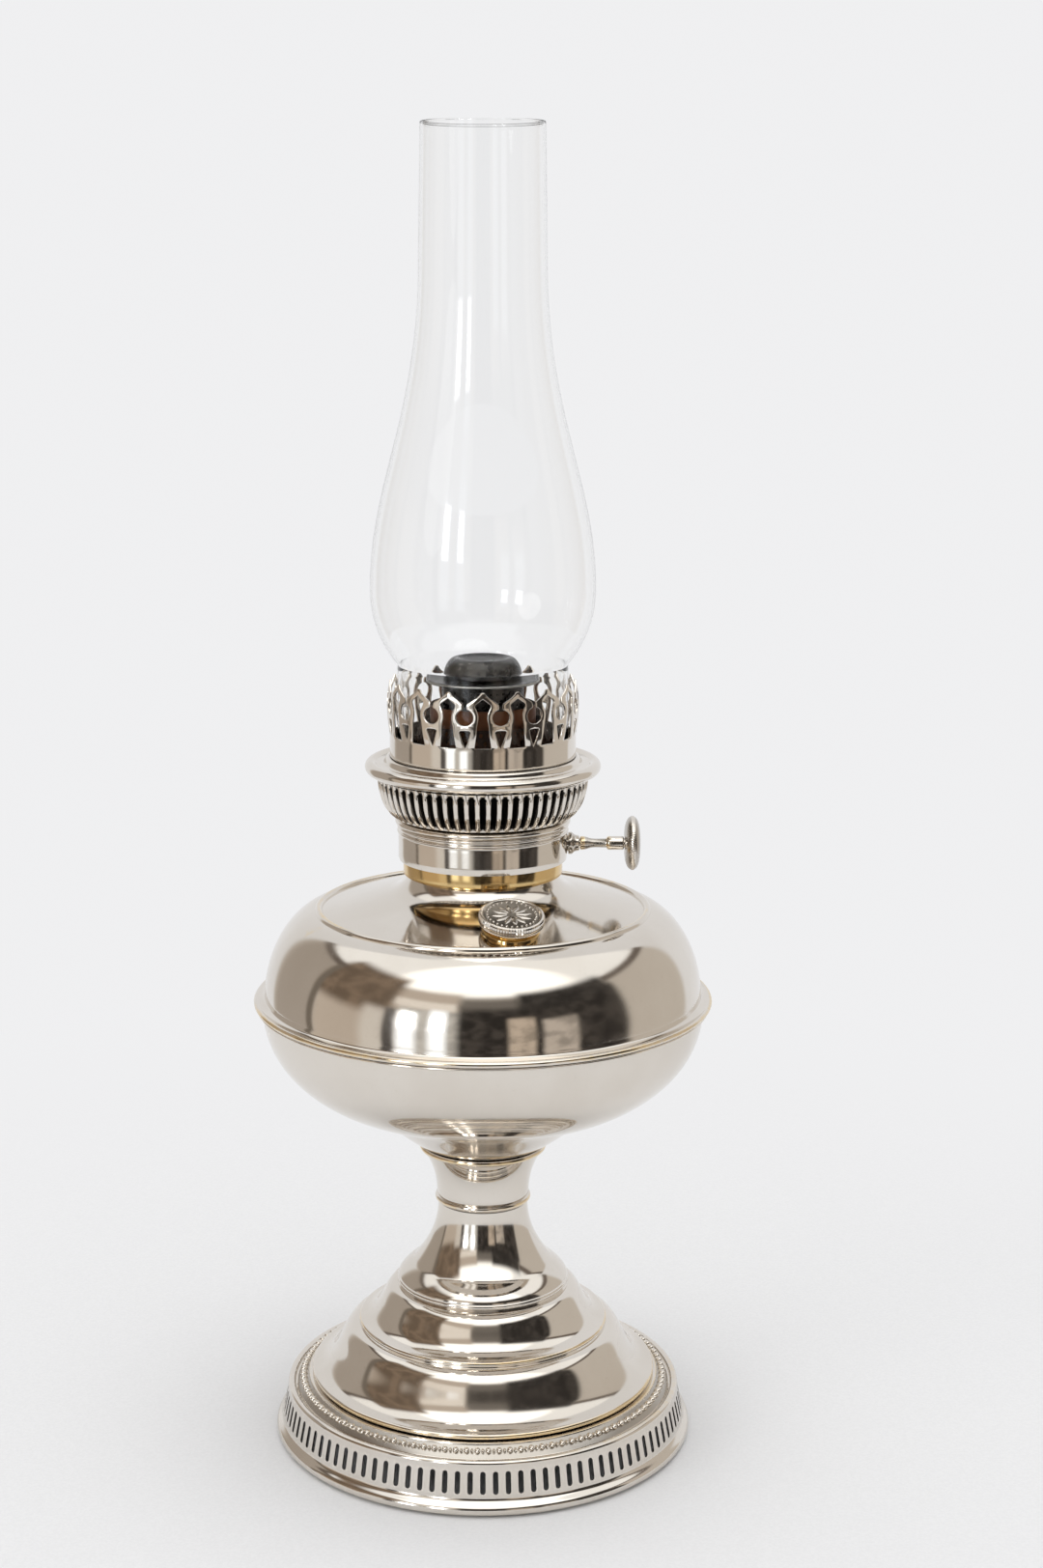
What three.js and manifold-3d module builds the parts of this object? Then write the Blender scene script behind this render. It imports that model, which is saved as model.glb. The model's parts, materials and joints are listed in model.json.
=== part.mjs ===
// Centre-draught kerosene table lamp with a round wick, in millimetres, +Z up.
// The origin is the middle of the foot, on the surface that the lamp stands on.
import * as THREE from 'three';
import { mergeVertices } from 'three/addons/utils/BufferGeometryUtils.js';
import Module from 'manifold-3d';

const wasm = await Module();
wasm.setup();

// Fits
const SEAT = 0.3; // gap between pieces that rest on each other
const RUN = 0.3; // radial gap of pieces that slide or turn in each other
const PASS = 3; // how far a cutter reaches past what it cuts

// Facets round each turned piece
const FOOT_FACETS = 26;
const SHELL_FACETS = 24;
const BURNER_FACETS = 20;
const BASKET_FACETS = 20;
const GLASS_FACETS = 20;
const FILLER_FACETS = 12;
const TUBE_FACETS = 12;
const SHAFT_FACETS = 10;

// Overall
const LAMP_HEIGHT = 522;

// Sheet and tube walls
const SHEET = 1.0;
const TUBE_WALL = 0.8;
const GLASS_WALL = 2.2;

// Foot
const FOOT_RADIUS = 85;
const RIM_ROLL = 2.4;
const RIM_HEIGHT = 7.4;
const RIM_STEP = 2.8;
const AIR_WALL_RISE = 10.2;
const AIR_WALL_LEAN = 2.1;
const AIR_SLOTS_PER_FACET = 4;
const AIR_SLOT_WIDTH = 2.1;
const AIR_SLOT_HEIGHT = 7.4;
const RIDGE_ROLL = 1.6;
const BEAD_BAND_RUN = 6.2;
const BEAD_BAND_RISE = 5.0;
const LEDGE_RUN = 3.4;

// Pedestal
const LOWER_BELL_RISE = 21.0;
const LOWER_STEP_RADIUS = 50.6;
const UPPER_BELL_RISE = 15.3;
const UPPER_STEP_RADIUS = 34.9;
const STEP_ROLL = 1.2;
const CROWN_RISE = 7.2;
const CROWN_RUN = 6.7;
const CONE_RISE = 25.4;

// Stem spool
const SPOOL_RISE = 24.1;
const SPOOL_TOP_RADIUS = 25.6;
const SPOOL_BEAD = 1.1;

// Oil font
const BOWL_RADIUS = 88;
const BOWL_RISE = 59.4;
const OGEE_RADIUS = 57.3;
const OGEE_RISE = 19.7;
const SEAM_LIP = 3.4;
const SEAM_HEIGHT = 3.0;
const DOME_RISE = 36.1;
const SHOULDER_RADIUS = 65.2;
const SHOULDER_ROLL = 1.5;
const DISH_RISE = 6.0;
const NECK_FLARE = 7.9;
const NECK_RISE = 7.8;
const NECK_ROOM = 0.6;
const COLLAR_RING_STEP = 3.0;
const COLLAR_RING_HEIGHT = 6.5;

// Draught tube, wick and wick raiser
const DRAUGHT_RADIUS = 16;
const STEM_ROOM = 1.1;
const DRAUGHT_FOOT_DEPTH = 28;
const DRAUGHT_DROP = 4;
const WICK_GAP = 0.4;
const WICK_WALL = 2.2;
const WICK_DROP = 0.8;
const WICK_LENGTH = 149;
const CARRIER_WALL = 0.7;
const CARRIER_LENGTH = 46;
const CARRIER_DROP = 37;
const WICK_TUBE_LENGTH = 160;
const WICK_TUBE_RISE = 20.8;
const GEAR_TEETH = 12;
const GEAR_MODULE = 0.75;
const TOOTH_REACH = 0.55;
const TOOTH_DEPTH = 0.85;
const TOOTH_TIP = 0.45;
const TOOTH_ROOT = 1.0;
const PINION_WIDTH = 3.4;
const PINION_STANDOFF = 1.6;
const RACK_TEETH = 9;
const RACK_BACK = 2.6;
const WICK_UP = 6.0;
const WICK_DOWN = 7.9;

// Burner collar
const BURNER_STEP = 1.9;
const BURNER_HEIGHT = 14.9;
const BURNER_BEAD = 1.3;
const BURNER_LEDGE = 3.3;
const SHAFT_HEIGHT = 3.9;
const SHAFT_RADIUS = 2.0;
const SHAFT_REACH = 22;
const SHAFT_END_RADIUS = 2.7;
const SHAFT_WAIST_RADIUS = 1.6;
const SHAFT_CONE = 6.4;
const SHAFT_SLEEVE = 6.4;
const GLAND_RADIUS = 4.4;
const GLAND_LENGTH = 4.4;
const GLAND_SPIGOT_WALL = 1.0;
const KNOB_RADIUS = 10.7;
const KNOB_WIDTH = 6.2;
const KNOB_HUB_RADIUS = 4.2;
const KNOB_EDGE = 1.2;

// Gallery
const SPIGOT_DEPTH = 4;
const BASKET_RISE = 16.4;
const BASKET_FLARE = 5.1;
const BASKET_SLOTS_PER_FACET = 3;
const BASKET_SLOT_WIDTH = 2.0;
const BASKET_BEND = 4.6;
const BASKET_BAND = 1.2;
const RIM_OVERHANG = 4.8;
const RIM_BEAD = 2.6;
const RIM_SEAT_RISE = 5.0;
const FLOOR_RISE = 2.4;
const FITTER_ROOM = 2.5;
const CORONET_BOW = 1.0;
const CORONET_TIP_DRAW = 0.6;
const CORONET_HEIGHT = 30.5;
const CORONET_BAND = 8.8;
const CORONET_SHEET = 0.7;
const ARCHES = 17;
const ARCH_TIP_WIDTH = 1.8;
const ARCH_SLIT = 1.4;
const ARCH_EYE_RADIUS = 2.9;
const ARCH_STRAP = 2.5;
const EYE_RISE = 12.2;
const AIR_CONE_RISE = 13.8;
const AIR_CONE_GAP = 2.4;

// Glass chimney
const FITTER_RADIUS = 33.3;
const FITTER_HEIGHT = 36;
const BULB_RADIUS = 43.8;
const BULB_HEIGHT = 65;
const FLUE_RADIUS = 24.6;
const FLUE_LENGTH = 58.8;
const CHIMNEY_TOP_RADIUS = 23.7;

// Flame spreader
const SPREADER_SPIGOT = 11;
const THIMBLE_HEIGHT = 11;
const THIMBLE_HOLES = 12;
const THIMBLE_HOLE = 1.5;
const SPREADER_OVERHANG = 0.9;
const SPREADER_FLANGE_THICKNESS = 1.2;
const SPREADER_CAP_HEIGHT = 9;
const SPREADER_CAP_EDGE = 1.5;

// Filler
const FILLER_AZIMUTH = THREE.MathUtils.degToRad(-77.8);
const FILLER_RADIUS = 9.6;
const FILLER_HEIGHT = 4.6;
const FILLER_FLANGE = 1.6;
const CAP_LIP = 3.0;
const CAP_HEIGHT = 4.2;
const CAP_TOP = 1.3;
const GASKET_THICKNESS = 0.7;

// Heights of the seats, from the table up
const airWallFoot = RIM_HEIGHT;
const airWallTop = airWallFoot + AIR_WALL_RISE;
const ledgeTop = airWallTop + RIDGE_ROLL + BEAD_BAND_RISE;
const pedestalFoot = ledgeTop + SEAT;
const lowerStep = pedestalFoot + LOWER_BELL_RISE + STEP_ROLL;
const upperStep = lowerStep + STEP_ROLL + UPPER_BELL_RISE;
const crownTop = upperStep + STEP_ROLL + CROWN_RISE;
const pedestalTop = crownTop + CONE_RISE;
const spoolFoot = pedestalTop + SEAT;
const spoolTop = spoolFoot + SPOOL_RISE;
const fontFoot = spoolTop + SEAT;
const seam = fontFoot + BOWL_RISE;
const domeFoot = seam + SEAT + SEAM_HEIGHT;
const shoulder = domeFoot + DOME_RISE;
const neckFoot = shoulder + DISH_RISE;
const neckTop = neckFoot + NECK_RISE;
const ringFoot = neckTop + SEAT;
const ringTop = ringFoot + COLLAR_RING_HEIGHT;
const burnerFoot = ringTop + SEAT;
const burnerTop = burnerFoot + BURNER_HEIGHT;
const shaftHeight = burnerFoot + SHAFT_HEIGHT;
const basketFoot = burnerTop + SEAT;
const basketTop = basketFoot + BASKET_RISE;
const rimFoot = basketTop + SEAT;
const rimSeat = rimFoot + RIM_SEAT_RISE;
const floorTop = rimSeat + FLOOR_RISE;
const coronetFoot = floorTop + SEAT;
const coronetTop = coronetFoot + CORONET_HEIGHT;
const chimneyFoot = floorTop + SEAT;
const chimneyHeight = LAMP_HEIGHT - chimneyFoot;

// Radii of the nested tubes, from the middle out
const draughtBore = DRAUGHT_RADIUS - TUBE_WALL;
const stemRadius = DRAUGHT_RADIUS + STEM_ROOM + SHEET;
const wickBore = DRAUGHT_RADIUS + WICK_GAP;
const wickRadius = wickBore + WICK_WALL;
const carrierBore = wickRadius + RUN;
const carrierRadius = carrierBore + CARRIER_WALL;
const wickTubeBore = carrierRadius + RUN;
const wickTubeRadius = wickTubeBore + TUBE_WALL;
const wickTubeTop = floorTop + WICK_TUBE_RISE;
const wickTop = wickTubeTop - WICK_DROP;
const draughtTop = wickTubeTop - DRAUGHT_DROP;
const carrierTop = wickTop - CARRIER_DROP;
const pitchRadius = (GEAR_TEETH * GEAR_MODULE) / 2;
const toothPitch = Math.PI * GEAR_MODULE;
const pinionFoot = wickTubeRadius + PINION_STANDOFF;
const pinionTop = pinionFoot + PINION_WIDTH;
const rackFace = -(pitchRadius + TOOTH_DEPTH);
const rackBack = rackFace - RACK_BACK;
const neckBore = Math.hypot(pinionTop, rackBack) + NECK_ROOM;
const neckRadius = neckBore + SHEET;
const neckFootRadius = neckRadius + NECK_FLARE;
const ringRadius = neckRadius + COLLAR_RING_STEP;
const burnerRadius = ringRadius + BURNER_STEP;
const burnerBore = burnerRadius - SHEET;
const coronetRadius = FITTER_RADIUS + FITTER_ROOM + CORONET_SHEET;
const basketTopRadius = coronetRadius + BASKET_FLARE;
const rimRadius = basketTopRadius + RIM_OVERHANG;
const coneTopRadius = wickTubeRadius + AIR_CONE_GAP + SHEET;
const spreaderFlangeRadius = wickTubeRadius + SPREADER_OVERHANG;
const crownRadius = UPPER_STEP_RADIUS - CROWN_RUN;
const fillerDistance = (neckFootRadius + SHOULDER_RADIUS - SHOULDER_ROLL) / 2;
const capRadius = FILLER_RADIUS + CAP_LIP;

// Finishes
const nickel = { color: 0xc9c2b8, metalness: 1, roughness: 0.12 };
const brass = { color: 0xc79a4a, metalness: 1, roughness: 0.25 };
const brownedBrass = { color: 0x6b3a20, metalness: 0.8, roughness: 0.5 };
const blackIron = { color: 0x24231f, metalness: 0.6, roughness: 0.65 };
const clearGlass = { color: 0xf4f7f6, metalness: 0, roughness: 0.03, transparent: true, opacity: 0.3 };
const cotton = { color: 0xd9cdb4, metalness: 0, roughness: 0.95 };
const cork = { color: 0x8a6a48, metalness: 0, roughness: 0.9 };

const at = (r, z) => new THREE.Vector2(r, z);

// Points of a cubic curve between two points, without its first point.
function sweep(p0, p1, p2, p3, steps) {
  return new THREE.CubicBezierCurve(p0, p1, p2, p3).getPoints(steps).slice(1);
}

// Points of a round edge about a centre, between two angles in degrees.
function roll(r, z, radius, from, to, steps) {
  const points = [];
  for (let i = 0; i <= steps; i += 1) {
    const angle = THREE.MathUtils.degToRad(from + ((to - from) * i) / steps);
    points.push(at(r + radius * Math.cos(angle), z + radius * Math.sin(angle)));
  }
  return points;
}

// An outline moved sideways by a wall, to its left, with mitred corners.
function offset(outline, wall) {
  return outline.map((point, i) => {
    const before = outline[Math.max(i - 1, 0)];
    const after = outline[Math.min(i + 1, outline.length - 1)];
    const into = point.clone().sub(before);
    const out = after.clone().sub(point);
    if (into.lengthSq() === 0) into.copy(out);
    if (out.lengthSq() === 0) out.copy(into);
    into.normalize();
    out.normalize();
    const normal = at(-into.y - out.y, into.x + out.x).normalize();
    const miter = Math.max(normal.x * -into.y + normal.y * into.x, 0.5);
    return point.clone().addScaledVector(normal, wall / miter);
  });
}

// A closed outline turned round the Z axis. The outline runs anticlockwise in (r, z).
function turned(outline, facets) {
  const closed = [...outline, outline[0].clone()];
  return new THREE.LatheGeometry(closed, facets).rotateX(Math.PI / 2);
}

// An outline that starts and ends on the axis, turned round the Z axis.
function turnedSolid(outline, facets) {
  return new THREE.LatheGeometry(outline, facets).rotateX(Math.PI / 2);
}

// A sheet-metal shell with level edges: an outer outline that runs upwards, and its inner face.
function shell(outer, wall, facets, inner = outer) {
  const inside = offset(inner, wall);
  inside[0].y = inner[0].y;
  inside[inside.length - 1].y = inner[inner.length - 1].y;
  return turned([...outer, ...inside.reverse()], facets);
}

// A point of an outline at a row: whole rows are its points, and parts of a row lie between them.
function along(outline, row) {
  const index = Math.min(Math.floor(row), outline.length - 2);
  return outline[index].clone().lerp(outline[index + 1], row - index);
}

// A pierced sheet, closed round the Z axis. The panels of one unit are flat outlines with holes, in
// (share of the unit across, row up). The outer and inner faces give the (r, z) point of a row.
function wrapped(panels, units, outerAt, innerAt) {
  const positions = [];
  const indices = [];
  const known = new Map();
  const open = new Map();
  const vertex = (unit, point) => {
    const turn = (unit + point.x + units) % units;
    const key = `${Math.round(turn * 1e5) % (units * 1e5)} ${Math.round(point.y * 1e5)}`;
    if (!known.has(key)) {
      known.set(key, known.size);
      const angle = (turn * 2 * Math.PI) / units;
      for (const face of [outerAt(point.y), innerAt(point.y)]) {
        positions.push(face.x * Math.cos(angle), face.x * Math.sin(angle), face.y);
      }
    }
    return known.get(key);
  };
  for (let unit = 0; unit < units; unit += 1) {
    for (const { outline, holes } of panels) {
      const points = [outline, ...holes].flat();
      for (const triangle of THREE.ShapeUtils.triangulateShape(outline, holes)) {
        const [a, b, c] = triangle.map((i) => points[i]);
        const left = (b.x - a.x) * (c.y - a.y) - (b.y - a.y) * (c.x - a.x) > 0;
        const corners = (left ? [a, b, c] : [a, c, b]).map((point) => vertex(unit, point));
        indices.push(...corners.map((i) => 2 * i), ...corners.map((i) => 2 * i + 1).reverse());
        corners.forEach((from, i) => {
          const to = corners[(i + 1) % 3];
          if (!open.delete(`${to} ${from}`)) open.set(`${from} ${to}`, [from, to]);
        });
      }
    }
  }
  for (const [from, to] of open.values()) {
    indices.push(2 * to, 2 * from, 2 * from + 1, 2 * to, 2 * from + 1, 2 * to + 1);
  }
  const geometry = new THREE.BufferGeometry();
  geometry.setAttribute('position', new THREE.Float32BufferAttribute(positions, 3));
  geometry.setIndex(indices);
  geometry.computeVertexNormals();
  return geometry;
}

// Upright slots, evenly spaced across a unit, from one row to another.
function slotRow(count, width, foot, top) {
  return Array.from({ length: count }, (_, i) => {
    const left = (i + 0.5) / count - 0.5 - width / 2;
    return [at(left, foot), at(left + width, foot), at(left + width, top), at(left, top)];
  });
}

// A panel across a whole unit, from one row to another.
function panel(from, to, holes = []) {
  return { outline: [at(-0.5, from), at(0.5, from), at(0.5, to), at(-0.5, to)], holes };
}

// A plain tube from a bore to a radius.
function tube(bore, radius, foot, top, facets) {
  return turned([at(bore, foot), at(radius, foot), at(radius, top), at(bore, top)], facets);
}

// A block between two corners.
function block(low, high) {
  const size = new THREE.Vector3().subVectors(high, low);
  const middle = new THREE.Vector3().addVectors(low, high).multiplyScalar(0.5);
  return new THREE.BoxGeometry(size.x, size.y, size.z).translate(middle.x, middle.y, middle.z);
}

// A flat outline in (across, up), run outwards along +X from one radius to another.
function radialPrism(outline, from, to) {
  const flat = new THREE.ExtrudeGeometry(new THREE.Shape(outline), { depth: to - from, bevelEnabled: false });
  const frame = new THREE.Matrix4().makeBasis(
    new THREE.Vector3(0, 1, 0),
    new THREE.Vector3(0, 0, 1),
    new THREE.Vector3(1, 0, 0),
  );
  return flat.applyMatrix4(frame).translate(from, 0, 0);
}

// A three.js geometry as a solid that can be cut and joined.
function toSolid(geometry) {
  const bare = geometry.clone();
  bare.deleteAttribute('normal');
  bare.deleteAttribute('uv');
  const welded = mergeVertices(bare, 1e-4);
  return new wasm.Manifold(new wasm.Mesh({
    numProp: 3,
    vertProperties: new Float32Array(welded.attributes.position.array),
    triVerts: new Uint32Array(welded.index.array),
  }));
}

// A cut or joined solid as a three.js geometry.
function toGeometry(solid) {
  const mesh = solid.getMesh();
  const geometry = new THREE.BufferGeometry();
  geometry.setAttribute('position', new THREE.BufferAttribute(new Float32Array(mesh.vertProperties), 3));
  geometry.setIndex(new THREE.BufferAttribute(new Uint32Array(mesh.triVerts), 1));
  geometry.computeVertexNormals();
  return geometry;
}

// A body with one cutter or a list of cutters taken out of it.
function cut(body, cutters) {
  let solid = toSolid(body);
  for (const cutter of [cutters].flat()) solid = solid.subtract(toSolid(cutter));
  return toGeometry(solid);
}

// Copies of a cutter, evenly spaced round the Z axis.
function around(geometry, count, phase) {
  return Array.from({ length: count }, (_, i) => geometry.clone().rotateZ(phase + (i * 2 * Math.PI) / count));
}

function piece(name, geometry, finish) {
  const mesh = new THREE.Mesh(geometry, new THREE.MeshStandardMaterial(finish));
  mesh.name = name;
  return mesh;
}

// An S-curved bell: flat at its foot, steep in the middle, flat again at its shoulder.
function bell(foot, top, steps) {
  const run = foot.x - top.x;
  const rise = top.y - foot.y;
  const flare = at(foot.x - 0.6 * run, foot.y + 0.03 * rise);
  const brow = at(top.x + 0.45 * run, top.y);
  return sweep(foot, flare, brow, top, steps);
}

// Foot and pedestal

const airWallRadius = FOOT_RADIUS - RIM_STEP;
const airWallTopRadius = airWallRadius - AIR_WALL_LEAN;
const ridgeRadius = airWallTopRadius - RIDGE_ROLL;
const bandTopRadius = ridgeRadius - RIDGE_ROLL - BEAD_BAND_RUN;

function slottedFoot() {
  const outer = [
    at(FOOT_RADIUS - RIM_ROLL, 0),
    ...roll(FOOT_RADIUS - RIM_ROLL, RIM_ROLL, RIM_ROLL, -45, 45, 2),
    at(airWallRadius, airWallFoot),
    at(airWallTopRadius, airWallTop),
    at(ridgeRadius, airWallTop + 2 * RIDGE_ROLL),
    at(ridgeRadius - RIDGE_ROLL, airWallTop + RIDGE_ROLL),
    at(bandTopRadius, ledgeTop),
    at(bandTopRadius - LEDGE_RUN, ledgeTop),
  ];
  const inner = offset(outer, SHEET);
  inner[0].set(FOOT_RADIUS - 2 * RIM_ROLL, 0);
  const wall = outer.findIndex((point) => point.y === airWallFoot);
  const margin = (1 - AIR_SLOT_HEIGHT / AIR_WALL_RISE) / 2;
  const pitch = (2 * Math.PI * airWallTopRadius) / FOOT_FACETS;
  const slots = slotRow(AIR_SLOTS_PER_FACET, AIR_SLOT_WIDTH / pitch, wall + margin, wall + 1 - margin);
  const panels = outer.slice(1).map((_, row) => panel(row, row + 1, row === wall ? slots : []));
  return wrapped(panels, FOOT_FACETS, (row) => along(outer, row), (row) => along(inner, row));
}

function pedestalShell() {
  const footRadius = bandTopRadius - 2 * SEAT;
  const lowerFoot = at(footRadius - STEP_ROLL, pedestalFoot + 2 * STEP_ROLL);
  const lowerTop = at(LOWER_STEP_RADIUS, lowerStep - STEP_ROLL);
  const upperFoot = at(LOWER_STEP_RADIUS - STEP_ROLL, lowerStep + STEP_ROLL);
  const upperTop = at(UPPER_STEP_RADIUS, upperStep - STEP_ROLL);
  const crownFoot = at(UPPER_STEP_RADIUS, upperStep + STEP_ROLL);
  const crown = at(crownRadius, crownTop);
  const top = at(stemRadius, pedestalTop);
  const crownSide = at(UPPER_STEP_RADIUS, upperStep + STEP_ROLL + CROWN_RISE * 0.3);
  const crownBrow = at((UPPER_STEP_RADIUS + crownRadius) / 2, crownTop - CROWN_RISE * 0.3);
  const coneFlare = at((crownRadius + stemRadius) / 2, crownTop + CONE_RISE * 0.23);
  const coneWaist = at(stemRadius, crownTop + CONE_RISE * 0.55);
  const outer = [
    at(footRadius - STEP_ROLL, pedestalFoot),
    at(footRadius, pedestalFoot + STEP_ROLL),
    lowerFoot,
    ...bell(lowerFoot, lowerTop, 4),
    at(LOWER_STEP_RADIUS, lowerStep),
    upperFoot,
    ...bell(upperFoot, upperTop, 4),
    crownFoot,
    ...sweep(crownFoot, crownSide, crownBrow, crown, 2),
    ...sweep(crown, coneFlare, coneWaist, top, 3),
  ];
  const inner = [
    at(footRadius - STEP_ROLL, pedestalFoot),
    ...bell(lowerFoot, lowerTop, 3),
    ...bell(upperFoot, upperTop, 3),
    ...sweep(crown, coneFlare, coneWaist, top, 3),
  ];
  return shell(outer, SHEET, SHELL_FACETS, inner);
}

function stemSpool() {
  const waist = at(stemRadius + SHEET / 2, spoolFoot + 3 * SPOOL_BEAD);
  const flare = at(SPOOL_TOP_RADIUS - SPOOL_BEAD, spoolTop - 2 * SPOOL_BEAD);
  const rise = flare.y - waist.y;
  const lift = at(waist.x, waist.y + rise * 0.45);
  const lean = at((waist.x + flare.x) / 2, flare.y - rise * 0.2);
  const outer = [
    at(stemRadius, spoolFoot),
    at(stemRadius + SPOOL_BEAD, spoolFoot + 1.5 * SPOOL_BEAD),
    waist,
    ...sweep(waist, lift, lean, flare, 3),
    at(SPOOL_TOP_RADIUS, spoolTop - SPOOL_BEAD),
    at(SPOOL_TOP_RADIUS - SPOOL_BEAD, spoolTop),
  ];
  const bore = stemRadius - SHEET;
  const mouth = SPOOL_TOP_RADIUS - SPOOL_BEAD - SHEET;
  return turned([...outer, at(mouth, spoolTop), at(bore, waist.y + rise * 0.3), at(bore, spoolFoot)], BURNER_FACETS);
}

// Oil font

function fontLowerShell() {
  const foot = at(SPOOL_TOP_RADIUS - SPOOL_BEAD, fontFoot);
  const turn = at(OGEE_RADIUS, fontFoot + OGEE_RISE);
  const side = at(BOWL_RADIUS, seam - SHEET);
  const ogeeRun = turn.x - foot.x;
  const bowlRun = side.x - turn.x;
  const flare = at(foot.x + 0.3 * ogeeRun, foot.y + 0.25 * OGEE_RISE);
  const under = at(turn.x - 0.38 * ogeeRun, turn.y - 0.09 * OGEE_RISE);
  const belly = at(turn.x + 0.15 * bowlRun, turn.y + 0.02 * (side.y - turn.y));
  const flank = at(side.x, side.y - 0.68 * (side.y - turn.y));
  const bore = DRAUGHT_RADIUS + RUN;
  const lip = [
    at(BOWL_RADIUS + SEAM_LIP - SHEET, seam - SHEET),
    at(BOWL_RADIUS + SEAM_LIP - SHEET, seam),
  ];
  const outer = [
    at(bore, fontFoot),
    foot,
    ...sweep(foot, flare, under, turn, 3),
    ...sweep(turn, belly, flank, side, 5),
    ...lip,
  ];
  const inner = [foot, ...sweep(foot, flare, under, turn, 3), ...sweep(turn, belly, flank, side, 3)];
  const inside = offset(inner, SHEET);
  inside[inside.length - 1].y = seam;
  return turned([...outer, ...inside.reverse(), at(bore, fontFoot + SHEET)], SHELL_FACETS);
}

// The filler stands square on the sloping dish of the font.
const dishSlope = Math.atan2(DISH_RISE + SHOULDER_ROLL, SHOULDER_RADIUS - SHOULDER_ROLL - neckFootRadius);
const fillerFoot = neckFoot - (fillerDistance - neckFootRadius) * Math.tan(dishSlope);

function fillerFrame() {
  const group = new THREE.Group();
  group.position.set(
    fillerDistance * Math.cos(FILLER_AZIMUTH),
    fillerDistance * Math.sin(FILLER_AZIMUTH),
    fillerFoot,
  );
  group.rotation.set(0, dishSlope, FILLER_AZIMUTH, 'ZYX');
  group.updateMatrix();
  return group;
}

function fontUpperShell() {
  const lip = BOWL_RADIUS + SEAM_LIP;
  const side = at(BOWL_RADIUS - SHEET, domeFoot);
  const brow = at(SHOULDER_RADIUS + SHOULDER_ROLL, shoulder - SHOULDER_ROLL);
  const rise = brow.y - side.y;
  const run = side.x - brow.x;
  const flank = at(side.x, side.y + 0.44 * rise);
  const crest = at(side.x - 0.43 * run, brow.y - 0.05 * rise);
  const neck = at(neckFootRadius, neckFoot);
  const waist = at(neckRadius, neckTop - 2 * SHEET);
  const cove = at(neckRadius, neckFoot + SHEET);
  const outer = [
    at(BOWL_RADIUS, seam + SEAT),
    at(lip, seam + SEAT),
    at(lip, seam + SEAT + SEAM_HEIGHT * 0.6),
    side,
    ...sweep(side, flank, crest, brow, 4),
    at(SHOULDER_RADIUS, shoulder),
    at(SHOULDER_RADIUS - SHOULDER_ROLL, shoulder - SHOULDER_ROLL),
    neck,
    ...sweep(neck, cove, cove, waist, 2),
    at(neckRadius, neckTop),
  ];
  const inner = [
    at(BOWL_RADIUS, seam + SEAT),
    side,
    ...sweep(side, flank, crest, brow, 3),
    neck,
    ...sweep(neck, cove, cove, waist, 2),
    at(neckRadius, neckTop),
  ];
  const body = shell(outer, SHEET, SHELL_FACETS, inner);
  const reach = DISH_RISE + SHEET;
  const hole = new THREE.CylinderGeometry(
    FILLER_RADIUS + SEAT,
    FILLER_RADIUS + SEAT,
    2 * reach,
    FILLER_FACETS,
  ).rotateX(Math.PI / 2).applyMatrix4(fillerFrame().matrix);
  return cut(body, hole);
}

function fontCollar() {
  return tube(neckBore, ringRadius, ringFoot, ringTop, BURNER_FACETS);
}

function fillerNeck() {
  const bore = FILLER_RADIUS - SHEET;
  return turned([
    at(bore, -2 * SHEET),
    at(FILLER_RADIUS, -2 * SHEET),
    at(FILLER_RADIUS, SEAT),
    at(FILLER_RADIUS + FILLER_FLANGE, SEAT),
    at(FILLER_RADIUS + FILLER_FLANGE, SEAT + SHEET),
    at(FILLER_RADIUS, SEAT + SHEET),
    at(FILLER_RADIUS, FILLER_HEIGHT),
    at(bore, FILLER_HEIGHT),
  ], FILLER_FACETS);
}

const gasketFoot = FILLER_HEIGHT + SEAT;
const capUnder = gasketFoot + GASKET_THICKNESS + SEAT;
const capTop = capUnder + CAP_TOP;

function fillerGasket() {
  return tube(FILLER_RADIUS - SHEET, FILLER_RADIUS, gasketFoot, gasketFoot + GASKET_THICKNESS, FILLER_FACETS);
}

function fillerCap() {
  const foot = capTop - CAP_HEIGHT;
  const bore = FILLER_RADIUS + 2 * RUN;
  return turnedSolid([
    at(0, capUnder),
    at(bore, capUnder),
    at(bore, foot),
    at(capRadius - SHEET, foot),
    at(capRadius, foot + SHEET),
    at(capRadius, capTop - SHEET / 2),
    at(capRadius - SHEET, capTop),
    at(capRadius - 3 * SHEET, capTop - SHEET / 2),
    at(0, capTop - SHEET / 2),
  ], FILLER_FACETS);
}

// Burner

function draughtTube() {
  return tube(draughtBore, DRAUGHT_RADIUS, fontFoot - DRAUGHT_FOOT_DEPTH, draughtTop, TUBE_FACETS);
}

const rackReach = (RACK_TEETH * toothPitch) / 2;
const rackMiddle = shaftHeight + (WICK_DOWN - WICK_UP) / 2;
const rackTop = rackMiddle + rackReach;
const armDepth = 2.4 * RACK_BACK;

// The outer wick tube has a window for the arm of the rack.
function outerWickTube() {
  const body = tube(wickTubeBore, wickTubeRadius, wickTubeTop - WICK_TUBE_LENGTH, wickTubeTop, TUBE_FACETS);
  const window = block(
    new THREE.Vector3(0, rackBack - 2 * RUN, rackTop - armDepth - WICK_DOWN - 2 * RUN),
    new THREE.Vector3(wickTubeRadius + PASS, rackFace + 2 * RUN, rackTop + WICK_UP + 2 * RUN),
  );
  return cut(body, window);
}

function wick() {
  const foot = wickTop - WICK_LENGTH;
  const step = carrierTop + SEAT;
  return turned([
    at(wickBore, foot),
    at(wickRadius, foot),
    at(wickRadius, step),
    at(carrierRadius, step),
    at(carrierRadius, wickTop),
    at(wickBore, wickTop),
  ], TUBE_FACETS);
}

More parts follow.
